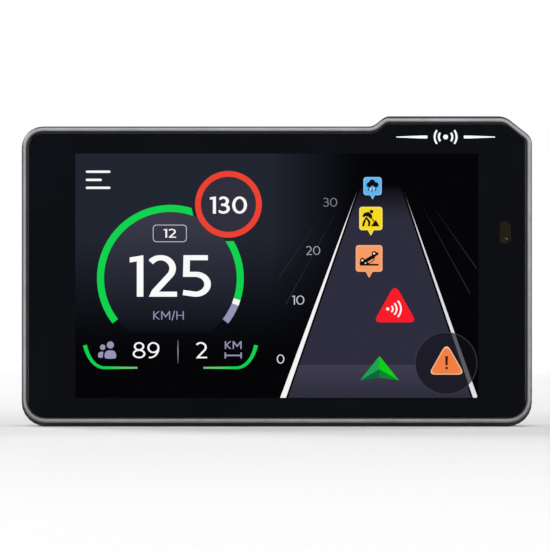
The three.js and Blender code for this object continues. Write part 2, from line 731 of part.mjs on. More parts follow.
function powerKey() {
  const flangeFoot = FLANGE_TOP - KEY_FLANGE_T;
  const sealT = 0.4;
  const flangeL = KEY_L + 2 * KEY_FLANGE;
  const flangeW = KEY_W + KEY_FLANGE;
  const capR = KEY_W / 2 - 0.01;
  const flangeTop = FLANGE_TOP - sealT - FIT;
  const key = join(
    keyShape(KEY_L, KEY_W, capR, flangeTop - 0.2, TAB_TOP - KEY_SUNK),
    keyShape(flangeL, flangeW, 0.8, flangeFoot - sealT, flangeTop),
    keyShape(STEM_L, STEM_W, 0.3, STEM_FOOT, flangeFoot),
  );
  add("power_button", key, KEY_BLACK, KEY_X, 0, KEY_Z);
  const seal = cut(
    keyShape(flangeL, flangeW, 0.8, flangeTop + FIT, FLANGE_TOP),
    keyShape(KEY_L + 2 * FIT, KEY_W + 2 * FIT, capR + FIT, flangeTop - 1, FLANGE_TOP + 1),
  );
  add("button_seal", seal, BLACK_RUBBER, KEY_X, 0, KEY_Z);
}

function powerSwitch() {
  const bodyTop = BOARD_HIGH - FIT;
  const low = BOARD_TOP_Z + FIT;
  const middleZ = low + SWITCH.t / 2;
  const pocketDepth = PLUNGER.inside + KEY_TRAVEL + RUN;
  const body = cut(
    block(SWITCH.w, SWITCH.h, low, low + SWITCH.t, 0, bodyTop - SWITCH.h / 2),
    block(
      PLUNGER.w + 2 * RUN,
      pocketDepth + 1,
      middleZ - PLUNGER.t / 2 - RUN,
      middleZ + PLUNGER.t / 2 + RUN,
      0,
      bodyTop - pocketDepth + (pocketDepth + 1) / 2,
    ),
  );
  add("power_switch", body, STEEL, KEY_X);
  const length = PLUNGER.out + PLUNGER.inside;
  add(
    "switch_plunger",
    new THREE.BoxGeometry(PLUNGER.w, length, PLUNGER.t),
    BLACK_RUBBER,
    KEY_X,
    bodyTop + PLUNGER.out - length / 2,
    middleZ,
  );
}

// ---- Loudspeaker and microphone ----------------------------------------------------------------

// Heights here are measured from the cover's inner face towards the driver.
function loudspeaker() {
  const place = [SPEAKER_X, SPEAKER_Y, INNER_BACK_Z];
  const gasketLow = 0.3;
  const frameLow = 0.85;
  const floorLow = 3.4;
  const floorHigh = 3.9;
  const magnetLow = 2.8;
  const yokeR = COIL_R - 0.5;
  const coilGap = COIL_R + 0.6;
  add("speaker_mesh", disc(SPEAKER_R - 1.2, FIT, 0.25), STEEL, ...place);
  add(
    "speaker_gasket",
    turned([
      [CONE_R + 0.2, gasketLow],
      [SPEAKER_R, gasketLow],
      [SPEAKER_R, frameLow - FIT],
      [CONE_R + 0.2, frameLow - FIT],
    ]),
    FOAM_BLACK,
    ...place,
  );
  add(
    "speaker_frame",
    turned([
      [CONE_R + 0.25, frameLow],
      [SPEAKER_R, frameLow],
      [SPEAKER_R, frameLow + 1.2],
      [MAGNET_R + 1.4, floorHigh],
      [MAGNET_R + RUN, floorHigh],
      [MAGNET_R + RUN, floorLow],
      [MAGNET_R + 1.2, floorLow],
      [CONE_R + 0.25, frameLow + 1.2],
    ]),
    BLACK_RUBBER,
    ...place,
  );
  add(
    "speaker_magnet",
    turned([
      [0, magnetLow],
      [yokeR, magnetLow],
      [yokeR, SPEAKER_D - 0.8],
      [coilGap, SPEAKER_D - 0.8],
      [coilGap, magnetLow],
      [MAGNET_R, magnetLow],
      [MAGNET_R, SPEAKER_D],
      [0, SPEAKER_D],
    ]),
    FERRITE,
    ...place,
  );
  add(
    "speaker_cone",
    turned([
      [0, 1.2],
      [COIL_R * 0.6, 1.35],
      [COIL_R, 1.9],
      [CONE_R, 1.25],
      [CONE_R, 1.5],
      [COIL_R + 0.2, 2.2],
      [COIL_R + 0.2, 3.9],
      [COIL_R - 0.1, 3.9],
      [COIL_R - 0.1, 2.1],
      [COIL_R * 0.6, 1.6],
      [0, 1.45],
    ]),
    CONE_GREY,
    ...place,
  );
}

function microphone() {
  const x = -HALF_W + MIC.x;
  const bootLow = WALL + FIT;
  const bootHigh = bootLow + MIC.bootT;
  const boot = cut(
    new THREE.BoxGeometry(
      MIC.w + 2 * MIC.bootEdge,
      MIC.bootT,
      MIC.t + 2 * MIC.bootEdge,
    ).translate(
      0,
      (bootLow + bootHigh) / 2,
      0,
    ),
    new THREE.CylinderGeometry(MIC.holeR, MIC.holeR, 6, 16).translate(0, bootLow, 0),
  );
  add("mic_boot", boot, BLACK_RUBBER, x, 0, MIC_Z);
  add(
    "microphone",
    new THREE.BoxGeometry(MIC.w, MIC.h, MIC.t),
    GOLD,
    x,
    bootHigh + FIT + MIC.h / 2,
    MIC_Z,
  );
}

// ---- Antennas, battery and holder plate ---------------------------------------------------------

function antennas() {
  const top = BOARD_BACK_Z - FIT;
  add(
    "gnss_antenna",
    roundedPlate(GNSS.side, GNSS.side, 1.0, top - GNSS.t, top),
    CERAMIC,
    GNSS_X,
    GNSS_LOW + GNSS.side / 2,
  );
  const strip = block(SIDE_ANTENNA.w, SIDE_ANTENNA.h, top - SIDE_ANTENNA.t, top);
  const x = HALF_W - BOARD_SIDE - 0.6 - SIDE_ANTENNA.w / 2;
  add("cellular_antenna", strip, GOLD, -x, SIDE_ANTENNA.y);
  add("wifi_antenna", strip.clone(), GOLD, x, SIDE_ANTENNA.y);
}

function battery() {
  const low = ROUND_IN + 2.0;
  const high = GNSS_LOW - 1.0;
  const left = -HALF_W + BATTERY.x;
  const right = left + BATTERY.w;
  const backZ = BATTERY_TOP_Z - BATTERY.t;
  add(
    "battery",
    roundedPlate(BATTERY.w, high - low, 1.5, backZ, BATTERY_TOP_Z),
    POUCH_SILVER,
    (left + right) / 2,
    (low + high) / 2,
  );
  const plug = { w: 3.6, h: 4.0, t: 2.0 };
  const plugX = right + 4.0;
  const plugLow = GNSS_LOW + 2.0;
  const plugZ = BOARD_BACK_Z - FIT - plug.t / 2;
  add(
    "battery_plug",
    new THREE.BoxGeometry(plug.w, plug.h, plug.t),
    CARD_WHITE,
    plugX,
    plugLow + plug.h / 2,
    plugZ,
  );
  const leadR = 0.6;
  const section = new THREE.Shape().absarc(0, 0, leadR, 0, 2 * Math.PI);
  const route = new THREE.CatmullRomCurve3([
    new THREE.Vector3(right + 0.3, high - 5, BATTERY_TOP_Z - 1.5),
    new THREE.Vector3(right + 2.0, high - 4.6, BATTERY_TOP_Z - 1.3),
    new THREE.Vector3(plugX, plugLow - 4.0, plugZ - 0.4),
    new THREE.Vector3(plugX, plugLow - 0.3, plugZ),
  ]);
  const lead = new THREE.ExtrudeGeometry(section, {
    steps: 14,
    curveSegments: 4,
    extrudePath: route,
  });
  add("battery_lead", lead, LEAD_RED);
}

function holderPlate() {
  const glueTop = SEAT_FLOOR_Z - FIT;
  const glueEdge = 0.5; // the adhesive stops this far inside the plate
  add(
    "plate_adhesive",
    disc(PLATE_R - glueEdge, glueTop - PLATE_GLUE_T, glueTop),
    FOAM_BLACK,
    0,
    SEAT_Y,
  );
  add("mount_plate", disc(PLATE_R, BACK_Z, BACK_Z + PLATE_T, 0, 0, 48), STEEL, 0, SEAT_Y);
}

function ratingLabel() {
  add(
    "rating_label",
    roundedPlate(LABEL.w, LABEL.h, LABEL.r, BACK_Z, BACK_Z + LABEL.t),
    LABEL_GREY,
    -HALF_W + LABEL.x,
    LABEL.y,
  );
}

// ---- Screws ------------------------------------------------------------------------------------

// A pan-head screw along Z, its head's seat at z = 0 and its shank towards the driver.
function screwShape({ shankR, headR, headH }, reach) {
  const recess = 0.6;
  const body = turned(
    [
      [0, reach],
      [0, -headH],
      [headR * 0.7, -headH],
      [headR, -headH * 0.55],
      [headR, 0],
      [shankR, 0],
      [shankR, reach - 0.4],
      [shankR * 0.6, reach],
    ],
    20,
  );
  const socket = new THREE.CylinderGeometry(headR * 0.5, headR * 0.5, 2 * recess, 6)
    .rotateX(Math.PI / 2)
    .translate(0, 0, -headH);
  return cut(body, socket);
}

function screws() {
  POSTS.forEach(([x, y], i) =>
    add(
      "case_screw_" + (i + 1),
      screwShape(CASE_SCREW, CASE_SCREW_REACH),
      STEEL,
      x,
      y,
      CASE_SCREW_SEAT_Z,
    ),
  );
  STANDOFFS.forEach(([x, y], i) =>
    add(
      "board_screw_" + (i + 1),
      screwShape(BOARD_SCREW, BOARD_SCREW_REACH),
      STEEL,
      x,
      y,
      BOARD_BACK_Z - FIT,
    ),
  );
}

rearCover();
frontBezel();
glassAndGasket();
displayStack();
flexCable("lcd_flex", LCD_FLEX.w, -LCD_FLEX.x, LCD_TOP_Z - LCD_T / 2);
flexCable("touch_flex", TOUCH_FLEX.w, TOUCH_FLEX.x, LCD_TOP_Z - LCD_T / 4);
lightSensor();
chassis();
mainBoard();
shieldCans();
simSocket();
usbPort();
powerKey();
powerSwitch();
loudspeaker();
microphone();
antennas();
battery();
holderPlate();
ratingLabel();
screws();

export default device;
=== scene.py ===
import json
import math

import bpy
from bpy.props import FloatProperty, FloatVectorProperty, PointerProperty, StringProperty
from bpy.types import Operator, Panel, PropertyGroup
from mathutils import Matrix, Vector
from mathutils.geometry import intersect_line_line


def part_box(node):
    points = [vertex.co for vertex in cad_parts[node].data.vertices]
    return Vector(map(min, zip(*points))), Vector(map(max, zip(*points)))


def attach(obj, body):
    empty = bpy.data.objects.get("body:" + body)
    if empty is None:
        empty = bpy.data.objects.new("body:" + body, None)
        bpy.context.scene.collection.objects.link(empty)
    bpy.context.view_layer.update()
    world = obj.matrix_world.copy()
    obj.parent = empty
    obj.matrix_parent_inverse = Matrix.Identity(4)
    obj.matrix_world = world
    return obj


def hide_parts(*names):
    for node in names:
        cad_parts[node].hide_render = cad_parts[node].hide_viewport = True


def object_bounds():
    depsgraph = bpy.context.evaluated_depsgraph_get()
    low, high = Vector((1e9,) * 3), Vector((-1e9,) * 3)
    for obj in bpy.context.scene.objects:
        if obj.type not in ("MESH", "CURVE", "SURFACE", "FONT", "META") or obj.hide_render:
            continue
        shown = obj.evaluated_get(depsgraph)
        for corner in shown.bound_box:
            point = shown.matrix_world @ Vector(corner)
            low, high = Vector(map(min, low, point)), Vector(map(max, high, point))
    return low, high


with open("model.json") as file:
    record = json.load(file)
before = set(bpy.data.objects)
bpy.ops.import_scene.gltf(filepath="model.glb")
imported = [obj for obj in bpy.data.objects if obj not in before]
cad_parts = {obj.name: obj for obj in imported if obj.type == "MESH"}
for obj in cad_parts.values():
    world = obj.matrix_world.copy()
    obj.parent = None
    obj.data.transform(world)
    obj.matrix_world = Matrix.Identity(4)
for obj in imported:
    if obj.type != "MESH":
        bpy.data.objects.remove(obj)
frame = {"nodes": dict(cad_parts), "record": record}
CAD_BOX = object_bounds()

bl_info = {
    "name": "Driver Alert Unit",
    "version": (1, 0, 0),
    "blender": (4, 5, 0),
    "location": "3D View > Sidebar > Alert Unit",
    "description": "Builds the finished look of a car's driver-alert unit around its packed frame",
    "category": "Object",
}

MM = 0.001
LAYER = 0.02 * MM  # how far each sheet of the picture stands above the one under it
SHEET = 0.03 * MM  # the thickness of one sheet
KEY_INK = 0.015 * MM  # the thickness of the print on the power key
LABEL_INK = 0.012 * MM  # and of the print on the label
WELD = 0.0005 * MM  # points closer than this are one
FACING = "facing"  # the attribute that holds which way a piece's surface looks, which the bezel's painted shade reads


def middle(node):
    """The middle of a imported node's box."""
    low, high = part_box(node)
    return (low + high) / 2


def rgb(red, green, blue):
    """A display colour, 0 to 255 a channel, as the linear colour that shaders work in."""

    def linear(channel):
        share = channel / 255
        return share / 12.92 if share <= 0.04045 else ((share + 0.055) / 1.055) ** 2.4

    return (linear(red), linear(green), linear(blue))


# ---- Sizes and colours that a user would change ----


def colour_setting(name, description, default):
    return FloatVectorProperty(name=name, description=description, subtype="COLOR", default=default)


def length_setting(name, description, default):
    return FloatProperty(name=name, description=description, default=default, unit="LENGTH")


class PictureSettings(PropertyGroup):
    width: length_setting("Width", "Width of the lit picture", 0.0864)
    height: length_setting("Height", "Height of the lit picture", 0.0524)
    glow: FloatProperty(name="Glow", description="Brightness of the picture", default=1.0, min=0)
    speed: StringProperty(name="Speed", description="The big number", default="125")
    limit: StringProperty(name="Limit", description="The number on the sign", default="130")
    road: StringProperty(name="Road", description="The number in the small frame", default="12")
    go: colour_setting("Go", "Green of the gauge", rgb(14, 212, 78))
    stop: colour_setting("Stop", "Red of the sign", rgb(236, 66, 50))
    ink: colour_setting("Ink", "White of the numbers", rgb(252, 252, 252))
    quiet: colour_setting("Quiet", "Lilac of the units", rgb(152, 148, 184))


class FinishSettings(PropertyGroup):
    case: colour_setting("Case", "Moulded plastic", (0.030, 0.031, 0.034))
    bezel: colour_setting("Bezel", "Satin metal rim", (0.36, 0.365, 0.38))
    glass: colour_setting("Glass", "Print behind the glass", (0.0034, 0.0038, 0.0056))
    print: colour_setting("Print", "Mark on the tab", rgb(222, 226, 230))
    edge: length_setting("Edge", "Radius of a broken edge", 0.00012)


class StageSettings(PropertyGroup):
    floor: colour_setting("Floor", "Floor colour", (0.93, 0.93, 0.93))
    distance: length_setting("Distance", "From the camera to the glass", 1.6)
    fill: FloatProperty(
        name="Fill", description="Share of the frame's width that the unit takes", default=0.9293
    )
    light: FloatProperty(name="Light", description="Strength of the lights", default=1.0, min=0)


# ---- Materials ----


class Wire:
    """A node's output, so that a material's maths reads as an expression."""

    def __init__(self, finish, socket):
        self.finish = finish
        self.socket = socket

    def maths(self, operation, first, second):
        return self.finish.node("ShaderNodeMath", {"operation": operation}, {0: first, 1: second})

    def __add__(self, other):
        return self.maths("ADD", self, other)

    def __radd__(self, other):
        return self.maths("ADD", other, self)

    def __sub__(self, other):
        return self.maths("SUBTRACT", self, other)

    def __mul__(self, other):
        return self.maths("MULTIPLY", self, other)

    def __pow__(self, other):
        return self.maths("POWER", self, other)


class Finish:
    """A Principled material whose varying sockets are fed by expressions."""

    def __init__(self, name, **sockets):
        self.material = bpy.data.materials.new(name)
        self.material.use_nodes = True
        self.nodes = self.material.node_tree.nodes
        self.shader = next(n for n in self.nodes if n.type == "BSDF_PRINCIPLED")
        self.place = self.node("ShaderNodeTexCoord", output="Object")
        for socket, value in sockets.items():
            self.set(socket.replace("_", " ").title().replace("Ior", "IOR"), value)

    def node(self, kind, settings=None, inputs=None, output=0):
        """Adds a node, feeds its inputs and gives one of its outputs."""
        node = self.nodes.new(kind)
        for setting, value in (settings or {}).items():
            setattr(node, setting, value)
        for key, value in (inputs or {}).items():
            self.feed(node.inputs[key], value)
        return Wire(self, node.outputs[output])

    def feed(self, socket, value):
        """Links an expression to a socket, or sets a plain value on it."""
        if isinstance(value, Wire):
            self.material.node_tree.links.new(value.socket, socket)
        elif socket.type == "RGBA":
            socket.default_value = (*value, 1.0)
        else:
            socket.default_value = value

    def set(self, socket, value):
        self.feed(self.shader.inputs[socket], value)

    def vector(self, operation, first, second=None, output=0):
        inputs = {0: first} if second is None else {0: first, 1: second}
        return self.node("ShaderNodeVectorMath", {"operation": operation}, inputs, output)

    def axis(self, letter):
        return self.node("ShaderNodeSeparateXYZ", None, {0: self.place}, letter)

    def stretched(self, x, y, z):
        return self.vector("MULTIPLY", self.place, (x, y, z))

    def noise(self, grain, detail=2.0, place=None):
        """Soft noise whose spots are about grain metres across."""
        noise = {"Vector": place or self.place, "Scale": 1 / grain, "Detail": detail}
        return self.node("ShaderNodeTexNoise", None, noise)

    def span(self, value, low, high, start=0.0, end=1.0):
        """Turns low to high into start to end, and stops there."""
        ends = {"From Min": low, "From Max": high, "To Min": start, "To Max": end}
        return self.node("ShaderNodeMapRange", None, {"Value": value, **ends})

    def between(self, share, first, second):
        """A colour from first, where share is 0, to second, where it is 1."""
        colours = {0: share, 6: first, 7: second}
        return self.node("ShaderNodeMix", {"data_type": "RGBA"}, colours, 2)

    def waves(self, direction, scale):
        """Straight ridges side by side along X or Z."""
        ridges = {"Vector": self.place, "Scale": scale, "Distortion": 0.0}
        return self.node("ShaderNodeTexWave", {"bands_direction": direction}, ridges, "Fac")

    def relief(self, height, depth, strength):
        """Raises the surface by depth where height is 1."""
        bump = {"Height": height, "Distance": depth, "Strength": strength}
        self.set("Normal", self.node("ShaderNodeBump", None, bump))


def shade(colour, factor):
    return tuple(channel * factor for channel in colour)


def moulded(name, colour, grain=0.25 * MM, roughness=0.5):
    """Moulded plastic with a fine spark-eroded grain and a faint handling sheen."""
    finish = Finish(name, ior=1.49)
    spots = finish.noise(grain, 3.0)
    wear = finish.noise(14 * MM, 4.0)
    finish.set(
        "Base Color",
        finish.between(finish.span(wear, 0.3, 0.7), shade(colour, 0.94), shade(colour, 1.1)),
    )
    finish.set("Roughness", finish.span(wear + spots * 0.3, 0.4, 0.9, roughness, roughness + 0.14))
    finish.relief(spots, 0.012 * MM, 0.6)
    return finish.material


def satin_metal(name, colour, centre, crest):
    """Bead-blasted, dyed metal, rubbed brighter in places, with painted shade on the slope down to the
    glass.
    """
    finish = Finish(name, metallic=0.6)
    blast = finish.noise(0.12 * MM, 2.0)
    patches = finish.noise(7 * MM, 3.0)
    rubbed = finish.span(finish.noise(3 * MM, 5.0), 0.45, 0.7)
    body = finish.between(finish.span(patches, 0.3, 0.7), shade(colour, 0.88), shade(colour, 1.1))
    worn = finish.between(rubbed * 0.2, body, shade(colour, 1.5))
    # Painted shade: the colour darkens where the surface faces in towards the unit's middle, just
    # behind the crest, on the slope down to the glass.
    facing = finish.node("ShaderNodeAttribute", {"attribute_name": FACING}, None, "Vector")
    flat = finish.vector("MULTIPLY", facing, (1, 0, 1))
    away = finish.vector("NORMALIZE", finish.vector("SUBTRACT", finish.place, tuple(centre)))
    inward = finish.span(finish.vector("DOT_PRODUCT", flat, away, "Value"), -0.08, -0.22)
    lip_painted_shade = inward * finish.span(finish.axis("Y"), crest + 0.06 * MM, crest + 0.18 * MM)
    finish.set("Base Color", finish.between(lip_painted_shade, worn, shade(colour, 0.16)))
    finish.set("Roughness", finish.span(patches + blast * 0.4, 0.5, 0.95, 0.42, 0.54))
    finish.relief(blast, 0.006 * MM, 0.5)
    return finish.material


def cover_glass(name, colour):
    """Polished glass over a black print, with the faintest smears in its gloss."""
    finish = Finish(name, ior=1.45)
    smear = finish.noise(12 * MM, 4.0, finish.stretched(1.0, 1.0, 0.45))
    finish.set(
        "Base Color",
        finish.between(finish.span(smear, 0.35, 0.65), shade(colour, 0.9), shade(colour, 1.1)),
    )
    finish.set("Roughness", finish.span(smear, 0.3, 0.8, 0.03, 0.08))
    return finish.material


def lit_by(light, name, glow):
    """A lit part of the picture under the glass's gloss. light gives its colour."""
    finish = Finish(name, base_color=(0.0, 0.0, 0.0), roughness=0.05, ior=1.52)
    finish.set("Emission Color", light(finish))
    finish.set("Emission Strength", glow)
    return finish.material


def lit(name, glow, colour, second=None, along=None):
    """A part of the picture lit evenly, or fading to a second colour."""
    dimmer = shade(colour, 0.97)

    def even(finish):
        cells = finish.span(finish.noise(3 * MM, 1.0), 0.3, 0.7)
        return finish.between(cells, dimmer, colour)

    def fading(finish):
        return finish.between(along(finish), second, dimmer)

    return lit_by(fading if second else even, name, glow)


def brushed(name, colour, turned_about=None, roughness=0.28):
    """Brushed steel, with its lines across, or round a centre on a turned face."""
    finish = Finish(name, metallic=0.85)
    if turned_about is None:
        lines = finish.noise(0.15 * MM, 3.0, finish.stretched(0.02, 1.0, 1.0))
    else:
        centred = finish.vector("SUBTRACT", finish.place, (turned_about.x, 0, turned_about.z))
        flat = finish.vector("MULTIPLY", centred, (1, 0, 1))
        radius = finish.vector("LENGTH", flat, output="Value")
        lines = finish.node(
            "ShaderNodeTexNoise",
            {"noise_dimensions": "1D"},
            {"W": radius, "Scale": 1 / (0.12 * MM), "Detail": 4.0},
        )
    finish.set("Base Color", finish.between(lines, shade(colour, 0.8), shade(colour, 1.15)))
    finish.set("Roughness", finish.span(lines, 0.3, 0.7, roughness, roughness + 0.16))
    finish.relief(lines, 0.004 * MM, 0.5)
    return finish.material


def rough_cast(name, colour, metallic=0.0, grain=0.5 * MM, depth=0.03 * MM, roughness=0.6):
    """Cast, fired or foamed stuff: mottled, with a pitted surface."""
    finish = Finish(name, metallic=metallic)
    pits = finish.noise(grain, 5.0)
    finish.set("Base Color", finish.between(pits, shade(colour, 0.7), shade(colour, 1.25)))
    finish.set("Roughness", finish.span(pits, 0.3, 0.7, roughness - 0.08, roughness + 0.12))
    finish.relief(pits, depth, 0.7)
    return finish.material


def solder_mask(name, colour):
    """A circuit board's green lacquer, with its tracks as pale raised lines under it."""
    finish = Finish(name, ior=1.5, coat_weight=0.3)
    upright = {"Vector": finish.place, "Rotation": (math.pi / 2, 0, 0)}
    bricks = {
        "Vector": finish.node("ShaderNodeMapping", None, upright),
        "Scale": 420.0,
        "Mortar Size": 0.018,
        "Color1": (0, 0, 0),
        "Color2": (0, 0, 0),
        "Mortar": (1, 1, 1),
    }
    tracks = finish.node("ShaderNodeTexBrick", {"offset": 0.35, "squash": 0.6}, bricks, "Fac")
    finish.set("Base Color", finish.between(tracks, colour, shade(colour, 2.2)))
    finish.set("Roughness", finish.span(finish.noise(2 * MM), 0.3, 0.7, 0.3, 0.42))
    finish.relief(tracks, 0.02 * MM, 0.6)
    return finish.material


def ribbon_cable(name, colour):
    """Amber film with its copper tracks showing as lines along it."""
    finish = Finish(name, ior=1.6)
    lines = finish.waves("X", 300.0)
    finish.set("Base Color", finish.between(lines, shade(colour, 0.7), shade(colour, 1.3)))
    finish.set("Roughness", finish.span(lines, 0.0, 1.0, 0.3, 0.45))
    finish.relief(lines, 0.01 * MM, 0.5)
    return finish.material


def foil(name, colour):
    """A battery pouch's creased foil."""
    finish = Finish(name, metallic=0.8)
    creases = finish.noise(4 * MM, 6.0, finish.stretched(1.0, 1.0, 1.6))
    finish.set("Base Color", finish.between(creases, shade(colour, 0.85), shade(colour, 1.1)))
    finish.set("Roughness", finish.span(creases, 0.3, 0.7, 0.32, 0.48))
    finish.relief(creases, 0.15 * MM, 0.5)
    return finish.material


def woven_mesh(name, colour):
    """The speaker's fine dust mesh, seen as a weave in its surface."""
    finish = Finish(name, metallic=0.9)
    weave = finish.waves("X", 900.0) * finish.waves("Z", 900.0)
    finish.set("Base Color", finish.between(weave, shade(colour, 0.15), colour))
    finish.set("Roughness", finish.span(weave, 0.0, 1.0, 0.6, 0.35))
    finish.relief(weave, 0.05 * MM, 0.8)
    return finish.material


def slot_finishes(settings):
    """One material for each material slot of the record."""
    steel = (0.55, 0.56, 0.58)
    finishes = {
        "case_plastic": moulded("case_plastic", settings.case),
        # the bezel's finish paints shade on its inner slope
        "bezel_metal": satin_metal(
            "bezel_metal", settings.bezel, middle("front_bezel"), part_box("front_bezel")[0].y
        ),
        "cover_glass": cover_glass("cover_glass", settings.glass),
        "foam": rough_cast("foam", (0.015, 0.015, 0.015), roughness=0.85, grain=0.3 * MM),
        "clear_film": cover_glass("clear_film", (0.10, 0.11, 0.13)),
        "display_panel": cover_glass("display_panel", (0.02, 0.022, 0.03)),
        "diffuser": moulded("diffuser", (0.80, 0.83, 0.86), 0.1 * MM, 0.45),
        "steel": brushed("steel", steel),
        "magnesium": rough_cast("magnesium", (0.42, 0.43, 0.44), 0.85, roughness=0.45),
        "board": solder_mask("board", (0.012, 0.10, 0.045)),
        "flex": ribbon_cable("flex", (0.42, 0.20, 0.05)),
        "ceramic": rough_cast("ceramic", (0.70, 0.64, 0.50), depth=0.01 * MM),
        "seal_rubber": moulded("seal_rubber", (0.012, 0.012, 0.012), 0.4 * MM, 0.6),
        "key_plastic": moulded("key_plastic", (0.028, 0.029, 0.032), 0.2 * MM, 0.42),
        "cone": rough_cast("cone", (0.04, 0.04, 0.045), grain=0.8 * MM, roughness=0.6),
        "magnet": rough_cast("magnet", (0.10, 0.10, 0.11), 0.7, depth=0.01 * MM, roughness=0.4),
        "pouch": foil("pouch", (0.55, 0.57, 0.59)),
        "lead_sheath": moulded("lead_sheath", (0.45, 0.02, 0.02), 0.3 * MM, 0.4),
        "white_plastic": moulded("white_plastic", (0.80, 0.79, 0.75), 0.2 * MM, 0.4),
        "gold": brushed("gold", (0.75, 0.55, 0.22)),
        "sensor_tint": cover_glass("sensor_tint", (0.035, 0.028, 0.018)),
        "label": moulded("label", (0.045, 0.047, 0.052), 0.6 * MM, 0.35),
    }
    for slot, material in finishes.items():
        material.name = "finish_" + slot
    return finishes


# ---- Modelling helpers ----


def select_none():
    bpy.ops.object.select_all(action="DESELECT")


def select_only(piece):
    select_none()
    piece.select_set(True)
    bpy.context.view_layer.objects.active = piece


def in_edit_mode(piece, *steps):
    """Runs edit-mode operators on the whole of a piece."""
    select_only(piece)
    bpy.ops.object.mode_set(mode="EDIT")
    bpy.ops.mesh.select_all(action="SELECT")
    for step in steps:
        step()
    bpy.ops.object.mode_set(mode="OBJECT")


def welded():
    bpy.ops.mesh.remove_doubles(threshold=WELD)


def flat_faces_joined():
    bpy.ops.mesh.dissolve_limited(angle_limit=math.radians(0.5))


def facing_out():
    bpy.ops.mesh.normals_make_consistent(inside=False)


def hand_over(piece, material, body="case"):
    """Gives a finished piece its material, slot and body."""
    piece.data.materials.clear()
    piece.data.materials.append(material)
    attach(piece, body)
    return piece


def broken_edges(piece, width, segments=2):
    """Rounds a piece's sharp edges and smooths its curves."""
    sharp = math.radians(32)
    select_only(piece)
    bevel = piece.modifiers.new("broken_edges", "BEVEL")
    bevel.width = width
    bevel.segments = segments
    bevel.limit_method = "ANGLE"
    bevel.angle_limit = sharp
    bevel.miter_outer = "MITER_ARC"
    bpy.ops.object.modifier_apply(modifier=bevel.name)
    bpy.ops.object.shade_smooth_by_angle(angle=sharp)
    level = piece.modifiers.new("level_faces", "WEIGHTED_NORMAL")
    level.keep_sharp = True
    level.weight = 90
    bpy.ops.object.modifier_apply(modifier=level.name)


def refined(node, name, width):
    """A CAD node as one welded skin with soft edges, which stands for it."""
    piece = bpy.data.objects.new(name, frame["nodes"][node].data.copy())
    bpy.context.collection.objects.link(piece)
    select_only(piece)
    bpy.ops.mesh.customdata_custom_splitnormals_clear()
    in_edit_mode(piece, welded, flat_faces_joined)
    broken_edges(piece, width)
    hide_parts(node)
    return piece


def packed_finish(slot):
    """The finish that slot_finishes made for a slot of the record."""
    return bpy.data.materials["finish_" + slot]


def dress(node, name, width, slot, body="case"):
    """Puts a refined piece in its slot's finish in the place of a CAD node."""
    return hand_over(refined(node, name, width), packed_finish(slot), body)


def keep_facing(piece):
    """Keeps on each corner of a piece the direction that its surface looks in."""
    mesh = piece.data
    kept = mesh.attributes.new(FACING, "FLOAT_VECTOR", "CORNER")
    for corner, normal in zip(kept.data, mesh.corner_normals):
        corner.vector = normal.vector


class Sheet:
    """A flat face that thin shapes are laid on: a point on it and how it is turned."""

    def __init__(self, origin, turn):
        self.matrix = Matrix.Translation(origin) @ turn

    def lay(self, piece, layer, thick):
        """Welds a converted outline, sets its thickness and puts it in place."""
        heights = [v.co.z for v in piece.data.vertices]
        low, high = min(heights), max(heights)
        stretch = Matrix.Diagonal((1, 1, thick / (high - low), 1))
        lift = Matrix.Translation((0, 0, layer * LAYER - low * thick / (high - low)))
        piece.data.transform(self.matrix @ lift @ stretch)
        in_edit_mode(piece, welded, facing_out)


TOWARDS_DRIVER = Matrix.Rotation(math.pi / 2, 4, "X")
TOWARDS_BACK = Matrix.Rotation(math.pi, 4, "Z") @ TOWARDS_DRIVER


def picture_foot():
    """The height of the picture's lower edge."""
    return middle("lcd_panel").z - bpy.context.scene.alert_picture.height / 2


def picture_sheet():
    """The glass over the picture, measured from the middle of the picture's lower edge."""
    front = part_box("front_glass")[0].y
    return Sheet((middle("lcd_panel").x, front, picture_foot()), TOWARDS_DRIVER)


def flat_shape(name, sheet, loops, layer, thick=SHEET):
    """A thin shape with edges and holes from closed loops of (x, z) points, in millimetres."""
    outline = bpy.data.curves.new(name, "CURVE")
    outline.dimensions = "2D"
    outline.fill_mode = "BOTH"
    outline.extrude = thick
    for loop in loops:
        spline = outline.splines.new("POLY")
        spline.points.add(len(loop) - 1)
        for point, (x, z) in zip(spline.points, loop):
            point.co = (x * MM, z * MM, 0, 1)
        spline.use_cyclic_u = True
    piece = bpy.data.objects.new(name, outline)
    bpy.context.collection.objects.link(piece)
    select_only(piece)
    bpy.ops.object.convert(target="MESH")
    sheet.lay(piece, layer, thick)
    return piece


# ---- Outlines, in millimetres ----


def arc(x, z, radius, start, end):
    """Points along an arc, its angles in degrees anticlockwise from the right."""
    steps = max(6, round(abs(end - start) / 4))
    angles = [math.radians(start + (end - start) * k / steps) for k in range(steps + 1)]
    return [(x + radius * math.cos(a), z + radius * math.sin(a)) for a in angles]


def circle(x, z, radius):
    return arc(x, z, radius, 0, 360)[:-1]


def band(x, z, outer, inner, starts, ends):
    """A piece of a ring. starts and ends are its two angles on the outer and the inner edge."""
    return arc(x, z, outer, starts[0], ends[0]) + arc(x, z, inner, ends[1], starts[1])


def rounded(corners):
    """A closed outline from (x, z, radius) corners taken anticlockwise."""
    points = []
    for k, (x, z, radius) in enumerate(corners):
        here = Vector((x, z))
        before = (Vector(corners[k - 1][:2]) - here).normalized()
        after = (Vector(corners[(k + 1) % len(corners)][:2]) - here).normalized()
        half = before.angle(after) / 2
        reach = radius / math.tan(half)
        for step in range(7):
            t = step / 6
            start = here + before * reach
            end = here + after * reach
            bend = start * (1 - t) ** 2 + here * 2 * t * (1 - t) + end * t**2
            points.append((bend.x, bend.y))
    return points


def bar(left, low, right, high, radius=0.05):
    return rounded(
        [(left, low, radius), (right, low, radius), (right, high, radius), (left, high, radius)]
    )


